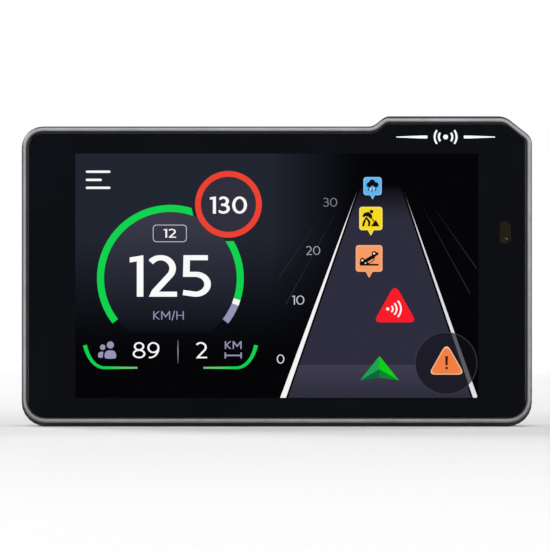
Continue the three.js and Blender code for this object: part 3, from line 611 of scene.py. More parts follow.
def ribbon(points, widths):
    """A band along a line of points, as wide as given at each of them."""
    left, right = [], []
    for k, (x, z) in enumerate(points):
        before = Vector(points[max(k - 1, 0)])
        after = Vector(points[min(k + 1, len(points) - 1)])
        along = (after - before).normalized() * widths[k] / 2
        left.append((x - along.y, z + along.x))
        right.append((x + along.y, z - along.x))
    return left + right[::-1]


def blob(centre, discs):
    """The outline round overlapping discs of (x, z, radius), all of them seen from the centre."""
    points = []
    for k in range(60):
        angle = math.tau * k / 60
        ray = Vector((math.cos(angle), math.sin(angle)))
        far = 0.0
        for x, z, radius in discs:
            to_disc = Vector((x, z)) - Vector(centre)
            along = to_disc.dot(ray)
            inside = radius**2 - (to_disc.length_squared - along**2)
            if inside >= 0:
                far = max(far, along + math.sqrt(inside))
        points.append((centre[0] + ray.x * far, centre[1] + ray.y * far))
    return points


def moved(loop, x, z, scale=1.0, turn=0.0):
    """A loop turned by degrees, scaled, and shifted to a new place."""
    cos, sin = math.cos(math.radians(turn)), math.sin(math.radians(turn))
    return [
        (x + scale * (px * cos - pz * sin), z + scale * (px * sin + pz * cos)) for px, pz in loop
    ]


# ---- Plain numbers and letters, one unit high, from the thickness of their strokes ----


def oval(x, z, wide, high, start=0, end=360):
    """Points along an arc of an ellipse with the given half sizes."""
    points = [(x + wide * px, z + high * pz) for px, pz in arc(0, 0, 1, start, end)]
    return points[:-1] if abs(end - start) == 360 else points


def pen(points, stem, rail):
    """A stroke along a line, stem thick where it stands and rail thick where it lies."""
    sides = []
    for way in (1, -1):
        edges = []
        for start, end in zip(points, points[1:]):
            start, end = Vector((*start, 0)), Vector((*end, 0))
            along = (end - start).normalized()
            half = way * (rail + (stem - rail) * abs(along.y)) / 2
            shift = Vector((-along.y, along.x, 0)) * half
            edges.append((start + shift, end + shift))
        side = [edges[0][0]]
        for one, other in zip(edges, edges[1:]):
            meet = intersect_line_line(*one, *other)
            side.append(meet[0] if meet else one[1])
        side.append(edges[-1][1])
        sides.append([(max(point.x, 0.0), point.y) for point in side])
    return sides[0] + sides[1][::-1]


def glyph(sign, stem):
    """The width of a number or letter and its outlines."""
    rail = stem * 0.8
    low, high = rail / 2, 1 - rail / 2
    if sign == "0":
        return 0.82, [oval(0.41, 0.5, 0.41, 0.5), oval(0.41, 0.5, 0.41 - stem, 0.5 - rail)]
    if sign == "1":
        flag, tip = 0.165, 0.945
        right = flag + stem
        slope = 0.055 / right
        return right, [
            [(right, 1), (0, tip), (0, tip - rail), (flag, tip + slope * flag - rail)]
            + [(flag, 0), (right, 0)]
        ]
    if sign == "2":
        bow = oval(0.27, 0.68, 0.355 - stem / 2, 0.32 - rail / 2, 146, -36)
        way = [*bow, (0.13, low + 0.055), (0.085, low), (0.65, low)]
        return 0.65, [pen(way, stem, rail)]
    if sign == "3":
        return 0.64, [
            oval(0.28, 0.725, 0.31, 0.275, 135, -50)
            + oval(0.28, 0.29, 0.36, 0.29, 58, -136)
            + [(0.02, 0.085 + rail)]
            + oval(0.28, 0.29, 0.36 - stem, 0.29 - rail, -108, 90)
            + [(0.16, 0.58 - rail), (0.16, 0.45 + rail)]
            + oval(0.28, 0.725, 0.31 - stem, 0.275 - rail, -90, 108)
            + [(0.06, 0.92 - rail)]
        ]
    if sign == "5":
        bowl = oval(0.30, 0.3, 0.355 - stem / 2, 0.3 - rail / 2, 90, -96)
        left = stem / 2 + 0.02
        way = [(0.585, high), (left, high), (left - 0.01, 0.6 - rail / 2), *bowl]
        return 0.655, [pen([*way, (0.01, low + 0.04)], stem, rail)]
    if sign == "8":
        return 0.8, [
            oval(0.4, 0.735, 0.33, 0.265, 234, -54) + oval(0.4, 0.275, 0.4, 0.275, 62, -242),
            oval(0.4, 0.735, 0.33 - stem, 0.265 - rail),
            oval(0.4, 0.275, 0.4 - stem, 0.275 - rail),
        ]
    if sign == "9":
        return 0.756, [
            oval(0.378, 0.66, 0.378, 0.34, -69, -359)
            + oval(0.16, 0.62, 0.596, 0.62, 0, -97)
            + oval(0.16, 0.62, 0.596 - stem, 0.62 - rail, -97, -35),
            oval(0.378, 0.66, 0.378 - stem, 0.34 - rail),
        ]
    slant = stem * 1.35  # a slanting stroke, measured level
    if sign == "K":
        crotch = 0.66 - (0.66 - slant - stem) * 0.5 / 0.43
        return 0.66, [
            [(0, 0), (stem, 0), (stem, 0.43), (0.66 - slant, 0), (0.66, 0), (crotch, 0.5)]
            + [(0.65, 1), (0.65 - slant, 1), (stem, 0.57), (stem, 1), (0, 1)]
        ]
    if sign == "M":
        half, wide, shoulder = 0.45, 0.9, 0.95 - slant * 1.3
        inner = wide - stem
        return wide, [
            [(0, 0), (stem, 0), (stem, shoulder), (half, 0.22), (inner, shoulder), (inner, 0)]
            + [(wide, 0), (wide, 1), (inner, 1), (half, 0.22 + slant * 1.5), (stem, 1), (0, 1)]
        ]
    if sign == "H":
        wide, bottom, top = 0.74, 0.5 - rail / 2, 0.5 + rail / 2
        inner = wide - stem
        return wide, [
            [(0, 0), (stem, 0), (stem, bottom), (inner, bottom), (inner, 0), (wide, 0)]
            + [(wide, 1), (inner, 1), (inner, top), (stem, top), (stem, 1), (0, 1)]
        ]
    if sign == "/":
        return 0.36, [[(0, -0.1), (stem, -0.1), (0.36, 1.05), (0.36 - stem, 1.05)]]
    raise ValueError(f"no outline for {sign!r}")


def lettering(text, box, stem):
    """The outlines of a text that fills a box of (left, low, right, high)."""
    left, low, right, high = box
    signs = [glyph(sign, stem) for sign in text]
    gap = 0.13
    length = sum(width for width, _ in signs) + gap * (len(signs) - 1)
    wide, tall = (right - left) / length, high - low
    loops, start = [], 0.0
    for width, outlines in signs:
        for outline in outlines:
            loops.append([(left + (start + x) * wide, low + z * tall) for x, z in outline])
        start += width + gap
    return loops


class Picture:
    """Draws on the lit picture: each drawing is a thin sheet of its own, on a layer from 0 up."""

    def __init__(self, context):
        self.settings = context.scene.alert_picture
        self.sheet = picture_sheet()
        self.made = {}

    def colour(self, name, colour, second=None, along=None):
        if name not in self.made:
            self.made[name] = lit(name, self.settings.glow, colour, second, along)
        return self.made[name]

    def ink(self):
        return self.colour("lit_white", self.settings.ink)

    def go(self):
        return self.colour("lit_green", self.settings.go)

    def quiet(self):
        return self.colour("lit_lilac", self.settings.quiet)

    def draw(self, name, loops, layer, material):
        return hand_over(flat_shape(name, self.sheet, loops, layer), material)

    def write(self, name, text, box, layer, material, stem):
        """Writes a number so that it fills a box of (left, low, right, high)."""
        return self.draw(name, lettering(text, box, stem), layer, material)


def height_share(low, high):
    """A share that runs from 0 to 1 between two heights above the picture's lower edge."""
    foot = picture_foot()
    return lambda finish: finish.span(finish.axis("Z"), foot + low * MM, foot + high * MM)


# ---- The picture ----

ROAD_TOP = 44.15
ROAD_FOOT = 0.02
ROAD_LEFT = (17.15, 1.33, 0.62)  # an edge's place at top and foot, and half its line's width there
ROAD_RIGHT = (27.34, 42.6, 0.52)
ROAD_LIMIT = 43.15  # nothing of the road lies further right
VANISH = 46  # the height at which the road's lines would have thinned out
GAUGE = (-22.83, 25.65)  # the middle of the gauge's ring
GAUGE_OUT = 15.74
GAUGE_IN = 14.24
GAUGE_FOOT = 14.1  # where the gauge's face is cut level
SIGN = (-10.38, 41.51)
SIGN_OUT = 7.16
SIGN_RING = 1.24
SIGN_CLEAR = 7.95  # how far from the sign's middle the gauge's ring stops
BUTTON = (36.3, 7.42, 6.62)  # the round button's middle and radius


class ALERT_OT_picture_ground(Operator):
    """Lay the picture's dark ground with its soft light at the upper left"""

    bl_idname = "alert_unit.picture_ground"
    bl_label = "Picture Ground"

    def light(self, finish):
        across = finish.span(finish.axis("X"), 19 * MM, -2 * MM) ** 1.5
        upwards = height_share(8, 34)(finish) ** 1.7
        return finish.between(across * upwards, rgb(1, 1, 3), rgb(32, 36, 47))

    def execute(self, context):
        picture = Picture(context)
        settings = picture.settings
        half = settings.width / 2 / MM
        pane = bar(-half, 0, half, settings.height / MM)
        ground = lit_by(self.light, "lit_ground", settings.glow)
        picture.draw("picture_ground", [pane], 0, ground)
        return {"FINISHED"}


class ALERT_OT_road(Operator):
    """Draw the road that runs away from the driver, with its edges and far lanes"""

    bl_idname = "alert_unit.road"
    bl_label = "Road"

    def edge_at(self, edge, z):
        return edge[1] + (edge[0] - edge[1]) * z / ROAD_TOP

    def half_line_at(self, edge, z):
        return edge[2] * (1 - z / VANISH)

    def edge_line(self, edge, high, widen=0.0, shift=0.0):
        """A tapering line along an edge of the road, cut level at its foot and at a height."""
        left, right = [], []
        for z in (ROAD_FOOT, high):
            half = self.half_line_at(edge, z) + widen
            x = self.edge_at(edge, z) + shift
            left.append((x - half, z))
            right.append((min(x + half, ROAD_LIMIT), z))
        return [left[0], right[0], right[1], left[1]]

    def under_button(self, edge):
        """The stretch of an edge's line that the round button covers."""
        x, z, radius = BUTTON
        heights = [step / 10 for step in range(150)]
        corners = []
        for side in (-1, 1):
            line = [(self.edge_at(edge, h) + side * self.half_line_at(edge, h), h) for h in heights]
            inside = [point for point in line if math.dist(point, (x, z)) < radius]
            corners += [inside[0], inside[-1]][::-side]
        return corners

    def button_light(self, finish):
        """Darker where the button lies beyond the road's right edge."""
        slope = (ROAD_RIGHT[0] - ROAD_RIGHT[1]) / ROAD_TOP
        edge = ROAD_RIGHT[1] * MM + (finish.axis("Z") - picture_foot()) * slope
        beyond = finish.span(finish.axis("X") - edge, -0.1 * MM, 0.1 * MM)
        return finish.between(beyond, rgb(27, 26, 39), rgb(10, 10, 15))

    def execute(self, context):
        picture = Picture(context)
        tarmac = picture.colour(
            "lit_tarmac", rgb(46, 45, 62), rgb(1, 1, 3), height_share(45.6, 38.0)
        )
        near = picture.colour(
            "lit_tarmac_near", rgb(62, 60, 78), rgb(47, 46, 61), height_share(0.8, 6.8)
        )
        faint = picture.colour("lit_faint", rgb(40, 42, 50), rgb(12, 14, 20), height_share(42, 34))
        white = picture.colour(
            "lit_road_line", rgb(248, 248, 248), rgb(70, 72, 82), height_share(44.0, 37.0)
        )
        right_white = picture.colour(
            "lit_road_line_right", rgb(226, 227, 230), rgb(50, 52, 60), height_share(43.0, 36.0)
        )
        black = picture.colour("lit_margin", rgb(1, 1, 3))
        step = 7.08

        def slab(low, high):
            left = [(self.edge_at(ROAD_LEFT, z), z) for z in (high, low)]
            right = [(self.edge_at(ROAD_RIGHT, z), z) for z in (low, high)]
            return left + right

        end = ROAD_TOP + 1.4
        picture.draw("road_far", [slab(step, end)], 1, tarmac)
        picture.draw("road_near", [slab(ROAD_FOOT, step)], 1, near)
        crisp, soft = 0.01, 0.4  # the radius of a line's corners
        for side, edge, inward, ink, corner in (
            ("left", ROAD_LEFT, 0.12, white, crisp),
            ("right", ROAD_RIGHT, -0.12, right_white, soft),
        ):
            margin = self.edge_line(edge, end, 0.3, inward)
            picture.draw(f"road_margin_{side}", [margin], 2, black)
            line = self.edge_line(edge, ROAD_TOP)
            line = [(x, z, corner if z == ROAD_FOOT else crisp) for x, z in line]
            picture.draw(f"road_edge_{side}", [rounded(line)], 3, ink)
        lanes = [
            ((13.4, 41.1), (1.9, 20.0)),
            ((10.3, 40.2), (0.5, 25.8)),
            ((31.2, 41.1), (41.4, 22.4)),
            ((34.1, 40.2), (42.9, 27.7)),
        ]
        for number, (far, close) in enumerate(lanes, 1):
            picture.draw(f"far_lane_{number}", [ribbon([far, close], [0.08, 0.17])], 1, faint)
        x, z, radius = BUTTON
        face = lit_by(self.button_light, "lit_button", picture.settings.glow)
        picture.draw("round_button", [circle(x, z, radius)], 4, face)
        rim = picture.colour("lit_button_rim", rgb(60, 60, 74))
        rings = [circle(x, z, radius + half) for half in (0.07, -0.07)]
        picture.draw("round_button_rim", rings, 5, rim)
        dimmed = picture.colour("lit_dimmed", rgb(92, 92, 96))
        picture.draw("road_edge_dimmed", [self.under_button(ROAD_RIGHT)], 5, dimmed)
        return {"FINISHED"}


class ALERT_OT_gauge(Operator):
    """Draw the round speed gauge with its number and the speed-limit sign"""

    bl_idname = "alert_unit.gauge"
    bl_label = "Speed Gauge"

    def gap(self, radius):
        """The angle either side of the sign's direction that the gauge leaves free."""
        apart = math.dist(GAUGE, SIGN)
        cosine = (radius**2 + apart**2 - SIGN_CLEAR**2) / (2 * radius * apart)
        return math.degrees(math.acos(cosine))

    def face_light(self, finish):
        """Brightest at the top, almost dark at the foot."""
        lower = finish.between(height_share(13.5, 27)(finish), rgb(6, 9, 17), rgb(38, 41, 53))
        return finish.between(height_share(27, 40)(finish), lower, rgb(60, 58, 73))

    def execute(self, context):
        picture = Picture(context)
        settings = picture.settings
        aim = math.degrees(math.atan2(SIGN[1] - GAUGE[1], SIGN[0] - GAUGE[0]))
        gaps = (self.gap(GAUGE_OUT), self.gap(GAUGE_IN))
        foot, tick, tick_end, end = 218, -17.5, -22, -38  # angles along the ring

        face = lit_by(self.face_light, "lit_gauge_face", settings.glow)
        disc = [(x, max(z, GAUGE_FOOT)) for x, z in circle(*GAUGE, GAUGE_IN + 0.1)]
        picture.draw("gauge_face", [disc], 1, face)

        def ring(starts, ends):
            return band(*GAUGE, GAUGE_OUT, GAUGE_IN, starts, ends)

        before = ring((foot, foot), (aim + gaps[0], aim + gaps[1]))
        after = ring((aim - gaps[0], aim - gaps[1]), (tick, tick))
        picture.draw("gauge_band", [before, after], 2, picture.go())
        picture.draw("gauge_tick", [ring((tick, tick), (tick_end, tick_end))], 2, picture.ink())
        picture.draw("gauge_rest", [ring((tick_end, tick_end), (end, end))], 2, picture.quiet())
        red = picture.colour("lit_red", settings.stop)
        dark = picture.colour("lit_sign_face", rgb(47, 47, 61))
        inner = SIGN_OUT - SIGN_RING
        picture.draw("sign_face", [circle(*SIGN, inner + 0.1)], 2, dark)
        picture.draw("sign_ring", [circle(*SIGN, SIGN_OUT), circle(*SIGN, inner)], 3, red)
        place = (-14.35, 39.5, -6.4, 43.2)
        picture.write("sign_number", settings.limit, place, 3, picture.ink(), 0.17)
        frame_line = [bar(-26.6, 33.4, -19.3, 37.15, 0.9), bar(-26.43, 33.57, -19.47, 36.98, 0.75)]
        picture.draw("road_frame", frame_line, 2, picture.colour("lit_grey", rgb(186, 188, 202)))
        place = (-24.3, 34.35, -21.6, 36.25)
        picture.write("road_number", settings.road, place, 2, picture.ink(), 0.15)
        place = (-31.55, 21.7, -14.15, 30.6)
        picture.write("speed_number", settings.speed, place, 2, picture.ink(), 0.152)
        picture.write("speed_unit", "KM/H", (-26.5, 16.8, -19.95, 18.6), 2, picture.quiet(), 0.105)
        return {"FINISHED"}


class ALERT_OT_readouts(Operator):
    """Draw the menu bars and the two small readouts between their green brackets"""

    bl_idname = "alert_unit.readouts"
    bl_label = "Menu and Readouts"

    def bracket(self, start, end):
        """A line that drops, turns through a wide corner and thins out along the foot."""
        way = 1 if end[0] > start[0] else -1
        pull = [(0, 0), (0.5, -2.3), (1.9, -4.85), (4.3, -4.85)]
        points = []
        for step in range(17):
            t = step / 16
            shares = ((1 - t) ** 3, 3 * t * (1 - t) ** 2, 3 * t**2 * (1 - t), t**3)
            across = sum(share * x for share, (x, _) in zip(shares, pull))
            down = sum(share * z for share, (_, z) in zip(shares, pull))
            points.append((start[0] + way * across, start[1] + down))
        points.append(end)
        widths = [0.86 - 0.28 * k / 16 for k in range(17)]
        return ribbon(points, [*widths, 0.38])

    def from_tip(self, start, end):
        """A share that runs from 0 at a bracket's thin tip to 1 where its green is full."""
        full = end + math.copysign(6, start - end)
        return lambda finish: finish.span(finish.axis("X"), end * MM, full * MM)

    def execute(self, context):
        picture = Picture(context)
        menu = [
            bar(-40.95, z - 0.25, right, z + 0.25, 0.23)
            for z, right in ((48.5, -35.7), (46.75, -37.55), (45.05, -35.7))
        ]
        picture.draw("menu_bars", menu, 2, picture.ink())
        for side, start, end in (("left", -41.15, -29.9), ("right", -4.45, -15.75)):
            green = picture.colour(
                f"lit_green_{side}", picture.settings.go, rgb(122, 192, 128), self.from_tip(start, end)
            )
            bracket = self.bracket((start, 11.3), (end, 6.45))
            picture.draw(f"bracket_{side}", [bracket], 2, green)
        people = [
            circle(-35.7, 11.34, 0.76),
            circle(-37.34, 10.86, 0.58),
            rounded(
                [(-37.0, 8.4, 0.65), (-34.4, 8.4, 0.65), (-34.5, 10.2, 1.15), (-36.9, 10.2, 1.15)]
            ),
            rounded(
                [(-38.35, 8.6, 0.45), (-37.35, 8.6, 0.1), (-37.2, 9.9, 0.15), (-38.3, 9.9, 0.75)]
            ),
        ]
        picture.draw("people_sign", people, 2, picture.quiet())
        picture.write("drivers_number", "89", (-30.9, 8.5, -25.2, 11.95), 2, picture.ink(), 0.115)
        grey = picture.colour("lit_grey", rgb(150, 150, 160))
        divider = ribbon([(-21.2, z) for z in (7.4, 9.9, 12.4)], [0.04, 0.22, 0.04])
        picture.draw("divider", [divider], 2, grey)
        picture.write("reach_number", "2", (-17.3, 8.5, -14.95, 11.95), 2, picture.ink(), 0.115)
        picture.write("reach_unit", "KM", (-11.15, 10.5, -7.55, 12.15), 2, picture.quiet(), 0.13)
        left, right, low, level, half = -11.2, -7.5, 8.45, 9.1, 0.15  # half its thickness
        rule = [(left, low), (left + 2 * half, low), (left + 2 * half, level - half)]
        rule += [(right - 2 * half, level - half), (right - 2 * half, low), (right, low)]
        rule += [(x, 2 * level - z) for x, z in reversed(rule)]
        picture.draw("reach_rule", [rule], 2, picture.quiet())
        return {"FINISHED"}


class ALERT_OT_road_marks(Operator):
    """Draw the distances, the warning pins, the warning triangles and the driver's arrow"""

    bl_idname = "alert_unit.road_marks"
    bl_label = "Road Marks"

    def pin(self, picture, name, box, tip, colour):
        """A square sign with a point under it and a slightly paler rim."""
        left, low, right, high = box
        centre = (left + right) / 2
        half = (right - left) * 0.13
        pale = tuple(channel + (1 - channel) * 0.12 for channel in colour)
        for layer, part, inset, ink in ((4, "rim", 0.0, pale), (5, "face", 0.28, colour)):
            corner = 0.7 - inset / 2
            low_in = low + inset
            loop = rounded(
                [
                    (left + inset, low_in, corner),
                    (centre - half + inset / 4, low_in, 0.1),
                    (centre, tip + inset * 1.6, 0.12),
                    (centre + half - inset / 4, low_in, 0.1),
                    (right - inset, low_in, corner),
                    (right - inset, high - inset, corner),
                    (left + inset, high - inset, corner),
                ]
            )
            material = picture.colour(f"lit_{name}_{part}", ink)
            picture.draw(f"{name}_{part}", [loop], layer, material)

    def rain(self, x, z, size):
        """A cloud, the dark drops under it and the light ones between them."""
        cloud = blob((0, 0.1), [(-0.55, -0.02, 0.45), (-0.05, 0.35, 0.55), (0.6, -0.02, 0.45)])
        dark = [
            ribbon([(px, pz), (px - 0.18, pz - 0.5)], [0.2, 0.12])
            for px, pz in ((-0.55, -0.56), (0.05, -0.72), (0.62, -0.56))
        ]
        light = [ribbon([(px, -0.6), (px - 0.13, -0.95)], [0.15, 0.1]) for px in (-0.25, 0.32)]
        dark = [moved(loop, x, z, size) for loop in (cloud, *dark)]
        light = [moved(loop, x, z, size) for loop in light]
        return dark, light

    def digger(self, x, z, size):
        """A bent figure with a shovel beside a heap, and the figure's legs."""
        back = [(-0.94, 0.22), (-0.68, 0.5), (-0.33, 0.55), (-0.04, 0.33), (0.14, -0.02)]
        stride = [(-0.92, -0.95), (-0.8, -0.45), (-0.52, 0.12), (-0.14, -0.42), (-0.2, -0.95)]
        shapes = [
            circle(0.12, 0.86, 0.22),
            ribbon(back, [0.2, 0.44, 0.58, 0.5, 0.22]),
            ribbon([(0.2, -0.06), (0.42, -0.36)], [0.15, 0.15]),
            rounded([(0.02, -0.95, 0.05), (1.1, -0.95, 0.05), (0.64, -0.14, 0.08)]),
        ]
        legs = ribbon(stride, [0.24, 0.28, 0.34, 0.3, 0.24])
        return [moved(shape, x, z, size) for shape in shapes], [moved(legs, x, z, size)]

    def upset_car(self, x, z, size):
        """A car on its roof, tipped on its nose: body, wheels, hubs, cabin and road line."""
        body = rounded(
            [(-1.32, 0.16, 0.12), (-1.32, -0.2, 0.12), (-0.9, -0.34, 0.08), (-0.52, -0.56, 0.08)]
            + [(0.36, -0.56, 0.12), (0.7, -0.2, 0.1), (1.32, -0.12, 0.12), (1.28, 0.18, 0.12)]
        )
        cabin = rounded(
            [(-0.44, -0.26, 0.06), (-0.3, -0.46, 0.08), (0.3, -0.46, 0.1), (0.5, -0.26, 0.06)]
        )
        wheels = [circle(side * 0.83, 0.22, 0.3) for side in (-1, 1)]
        hubs = [circle(side * 0.83, 0.22, 0.13) for side in (-1, 1)]
        lamp = circle(-0.68, -0.27, 0.09)
        road = moved(ribbon([(-1.12, -0.77), (1.16, -0.77)], [0.22, 0.22]), x, z, size)

        def tipped(loops):
            return [moved(loop, x, z, size, 30) for loop in loops]

        return tipped([body]), tipped(wheels), tipped([*hubs, lamp]), tipped([cabin]), [road]

    def execute(self, context):
        picture = Picture(context)
        dark = picture.colour("lit_pictogram", rgb(14, 12, 16))
        distances = (
            ("30", (9.95, 41.0, 12.95, 42.9), 128),
            ("20", (6.3, 30.65, 9.3, 32.55), 160),
            ("10", (3.3, 20.0, 5.9, 21.95), 200),
            ("0", (0.0, 7.35, 1.6, 9.3), 228),
        )
        for text, box, grey in distances:
            ink = picture.colour(f"lit_distance_{text}", rgb(grey, grey, grey + 4))
            picture.write(f"distance_{text}", text, box, 2, ink, 0.115)
        pins = (
            ("rain_pin", (18.56, 43.45, 22.5, 47.36), 42.5, rgb(92, 180, 240)),
            ("roadworks_pin", (17.67, 35.95, 22.66, 40.98), 34.75, rgb(248, 219, 30)),
            ("crash_pin", (16.93, 27.05, 22.66, 32.76), 25.7, rgb(250, 158, 102)),
        )
        for name, box, tip, colour in pins:
            self.pin(picture, name, box, tip, colour)
        clouds, drops = self.rain(20.5, 45.7, 1.25)
        picture.draw("rain_sign", clouds, 6, dark)
        picture.draw("rain_drops", drops, 6, picture.ink())
        figure, legs = self.digger(20.1, 38.45, 1.75)
        picture.draw("roadworks_sign", figure, 6, dark)
        picture.draw("roadworks_legs", legs, 7, dark)
        car, wheels, hubs, cabin, road = self.upset_car(19.8, 29.9, 1.75)
        picture.draw("crash_sign", car, 6, dark)
        picture.draw("crash_road", road, 7, dark)
        picture.draw("crash_wheels", wheels, 7, dark)
        picture.draw("crash_hubs", hubs, 8, picture.colour("lit_hub", rgb(255, 232, 214)))
        picture.draw("crash_cabin", cabin, 7, picture.colour("lit_cabin", rgb(250, 158, 102)))
        alarm = picture.colour("lit_alarm", rgb(252, 26, 40))
        triangle = [(20.75, 16.2, 0.9), (29.95, 16.2, 0.9), (25.35, 24.45, 1.15)]
        picture.draw("alarm_triangle", [rounded(triangle)], 4, alarm)
        waves = [circle(23.78, 19.08, 0.34)]
        for radius, spread in ((0.82, 52), (1.65, 47), (2.56, 42)):
            line = arc(24.05, 19.08, radius, -spread, spread)
            waves.append(ribbon(line, [0.36] * len(line)))
        picture.draw("alarm_waves", waves, 5, picture.ink())
        apex, ridge, notch = (22.0, 8.98), (22.0, 6.15), (22.0, 4.35)
        left, right = (17.85, 3.75), (26.2, 3.75)
        facets = (
            ("arrow_left", [apex, left, ridge], rgb(28, 164, 80)),
            ("arrow_right", [apex, ridge, right], rgb(10, 210, 16)),
            ("arrow_under_left", [left, notch, ridge], rgb(8, 104, 60)),
            ("arrow_under_right", [ridge, notch, right], rgb(10, 132, 52)),
        )
        for name, loop, colour in facets:
            picture.draw(name, [loop], 4, picture.colour("lit_" + name, colour))
        pale = picture.colour("lit_peach_rim", rgb(252, 190, 148))
        orange = picture.colour("lit_orange", rgb(243, 127, 66))
        warning = [(32.5, 4.98, 0.9), (40.3, 4.98, 0.9), (36.4, 11.85, 1.05)]
        inside = [(32.85, 5.18, 0.8), (39.95, 5.18, 0.8), (36.4, 11.4, 0.95)]
        picture.draw("warning_rim", [rounded(warning)], 6, pale)
        picture.draw("warning_face", [rounded(inside)], 7, orange)
        mark = [ribbon([(36.4, 8.95), (36.4, 7.0)], [0.58, 0.44]), circle(36.4, 6.4, 0.27)]
        picture.draw("warning_mark", mark, 8, picture.colour("lit_umber", rgb(52, 22, 14)))
        return {"FINISHED"}


# ---- The case and its fittings ----


class ALERT_OT_inner_parts(Operator):
    """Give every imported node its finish, inside and out"""

    bl_idname = "alert_unit.inner_parts"
    bl_label = "Packed Parts"

    def execute(self, context):
        finishes = slot_finishes(context.scene.alert_finish)
        for row in frame["record"]["subparts"]:
            for slot in frame["nodes"][row["node"]].material_slots:
                slot.material = finishes[row["material_slot"]]
        return {"FINISHED"}


class ALERT_OT_housing(Operator):
    """Make the rear cover and the bezel as single skins with broken edges"""

    bl_idname = "alert_unit.housing"
    bl_label = "Rear Cover and Bezel"

    def execute(self, context):
        edge = context.scene.alert_finish.edge
        dress("rear_cover", "rear_cover_skin", edge, "case_plastic")
        # The bezel keeps which way its surface looks, for the painted shade on its inner slope.
        keep_facing(dress("front_bezel", "front_bezel_skin", edge * 0.5, "bezel_metal"))
        return {"FINISHED"}


class ALERT_OT_front(Operator):
    """Make the cover glass, the sensor's window in it with a painted highlight, and the plain mark on
    the tab with a painted glow
    """

    bl_idname = "alert_unit.front"
    bl_label = "Cover Glass"

    def tab_mark(self, settings):
        """A wave sign between two tapering dashes, printed, and given a faint painted glow."""
        low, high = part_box("front_glass")
        key = middle("power_button")
        sheet = Sheet((key.x, low.y, high.z - 2.85 * MM), TOWARDS_DRIVER)
        loops = [circle(0, 0, 0.52)]
        for side in (0, 180):
            for radius in (1.45, 2.35):
                line = arc(0, 0, radius, side - 38, side + 38)
                loops.append(ribbon(line, [0.42] * len(line)))
            way = 1 if side == 0 else -1
            dash = [(way * x, 0) for x in (3.9, 5.2, 10.6)]
            loops.append(ribbon(dash, [0.62, 0.62, 0.2]))
        finish = Finish("tab_print_painted_glow", roughness=0.35, ior=1.52)
        speckle = finish.noise(0.6 * MM, 3.0)
        finish.set(
            "Base Color", finish.between(speckle, shade(settings.print, 0.92), settings.print)
        )
        # Painted light: the printed mark is given a faint glow of its own, though it is no lamp.
        finish.set("Emission Color", shade(settings.print, 0.8))
        finish.set("Emission Strength", 0.26)
        hand_over(flat_shape("tab_mark", sheet, loops, 0), finish.material)

    def sensor_window(self):
        """The tinted window over the sensor, and a painted highlight on it where the sensor behind
        catches the light.
        """
        low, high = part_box("sensor_lens")
        lens = middle("sensor_lens")
        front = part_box("front_glass")[0].y
        sheet = Sheet((lens.x, front, lens.z), TOWARDS_DRIVER)
        half_w = (high.x - low.x) / 2 / MM + 0.1
        half_h = (high.z - low.z) / 2 / MM + 0.1
        window = bar(-half_w, -half_h, half_w, half_h, half_w * 0.98)
        finish = Finish("window_tint", ior=1.52)
        cloud = finish.noise(1.5 * MM, 3.0)
        finish.set("Base Color", finish.between(cloud, rgb(22, 20, 13), rgb(36, 32, 20)))
        finish.set("Roughness", finish.span(cloud, 0.3, 0.7, 0.05, 0.16))
        hand_over(flat_shape("sensor_window", sheet, [window], 0), finish.material)
        # Painted highlight: two small pale discs on the window stand for the sensor behind catching
        # the light.
        painted_glint = Finish("window_painted_glint", roughness=0.2, ior=1.52)
        shine = painted_glint.noise(0.2 * MM, 2.0)
        painted_glint.set("Base Color", painted_glint.between(shine, rgb(74, 76, 66), rgb(116, 118, 108)))
        glint_spots = [circle(0.35, -half_h + 1.05, 0.17), circle(-0.1, -half_h + 1.3, 0.09)]
        hand_over(flat_shape("sensor_painted_glint", sheet, glint_spots, 1), painted_glint.material)

    def execute(self, context):
        settings = context.scene.alert_finish
        dress("front_glass", "cover_glass_sheet", settings.edge, "cover_glass")
        self.tab_mark(settings)
        self.sensor_window()
        return {"FINISHED"}


class ALERT_OT_power_key(Operator):
    """Make the power key with soft edges and a printed power sign"""

    bl_idname = "alert_unit.power_key"
    bl_label = "Power Key"

    def execute(self, context):
        edge = context.scene.alert_finish.edge
        dress("power_button", "power_key", edge * 1.4, "key_plastic", "power_key")
        key = middle("power_button")
        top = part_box("power_button")[1].z
        sheet = Sheet((key.x, key.y, top), Matrix.Identity(4))
        ring = arc(0, 0, 0.85, 120, 420)
        loops = [ribbon(ring, [0.2] * len(ring)), bar(-0.1, 0.25, 0.1, 1.2, 0.08)]
        ink = Finish("key_print", roughness=0.5)
        speckle = ink.noise(0.4 * MM)
        ink.set("Base Color", ink.between(speckle, rgb(196, 198, 202), rgb(224, 226, 228)))
        sign = flat_shape("power_sign", sheet, loops, 0, KEY_INK)
        hand_over(sign, ink.material, "power_key")
        return {"FINISHED"}


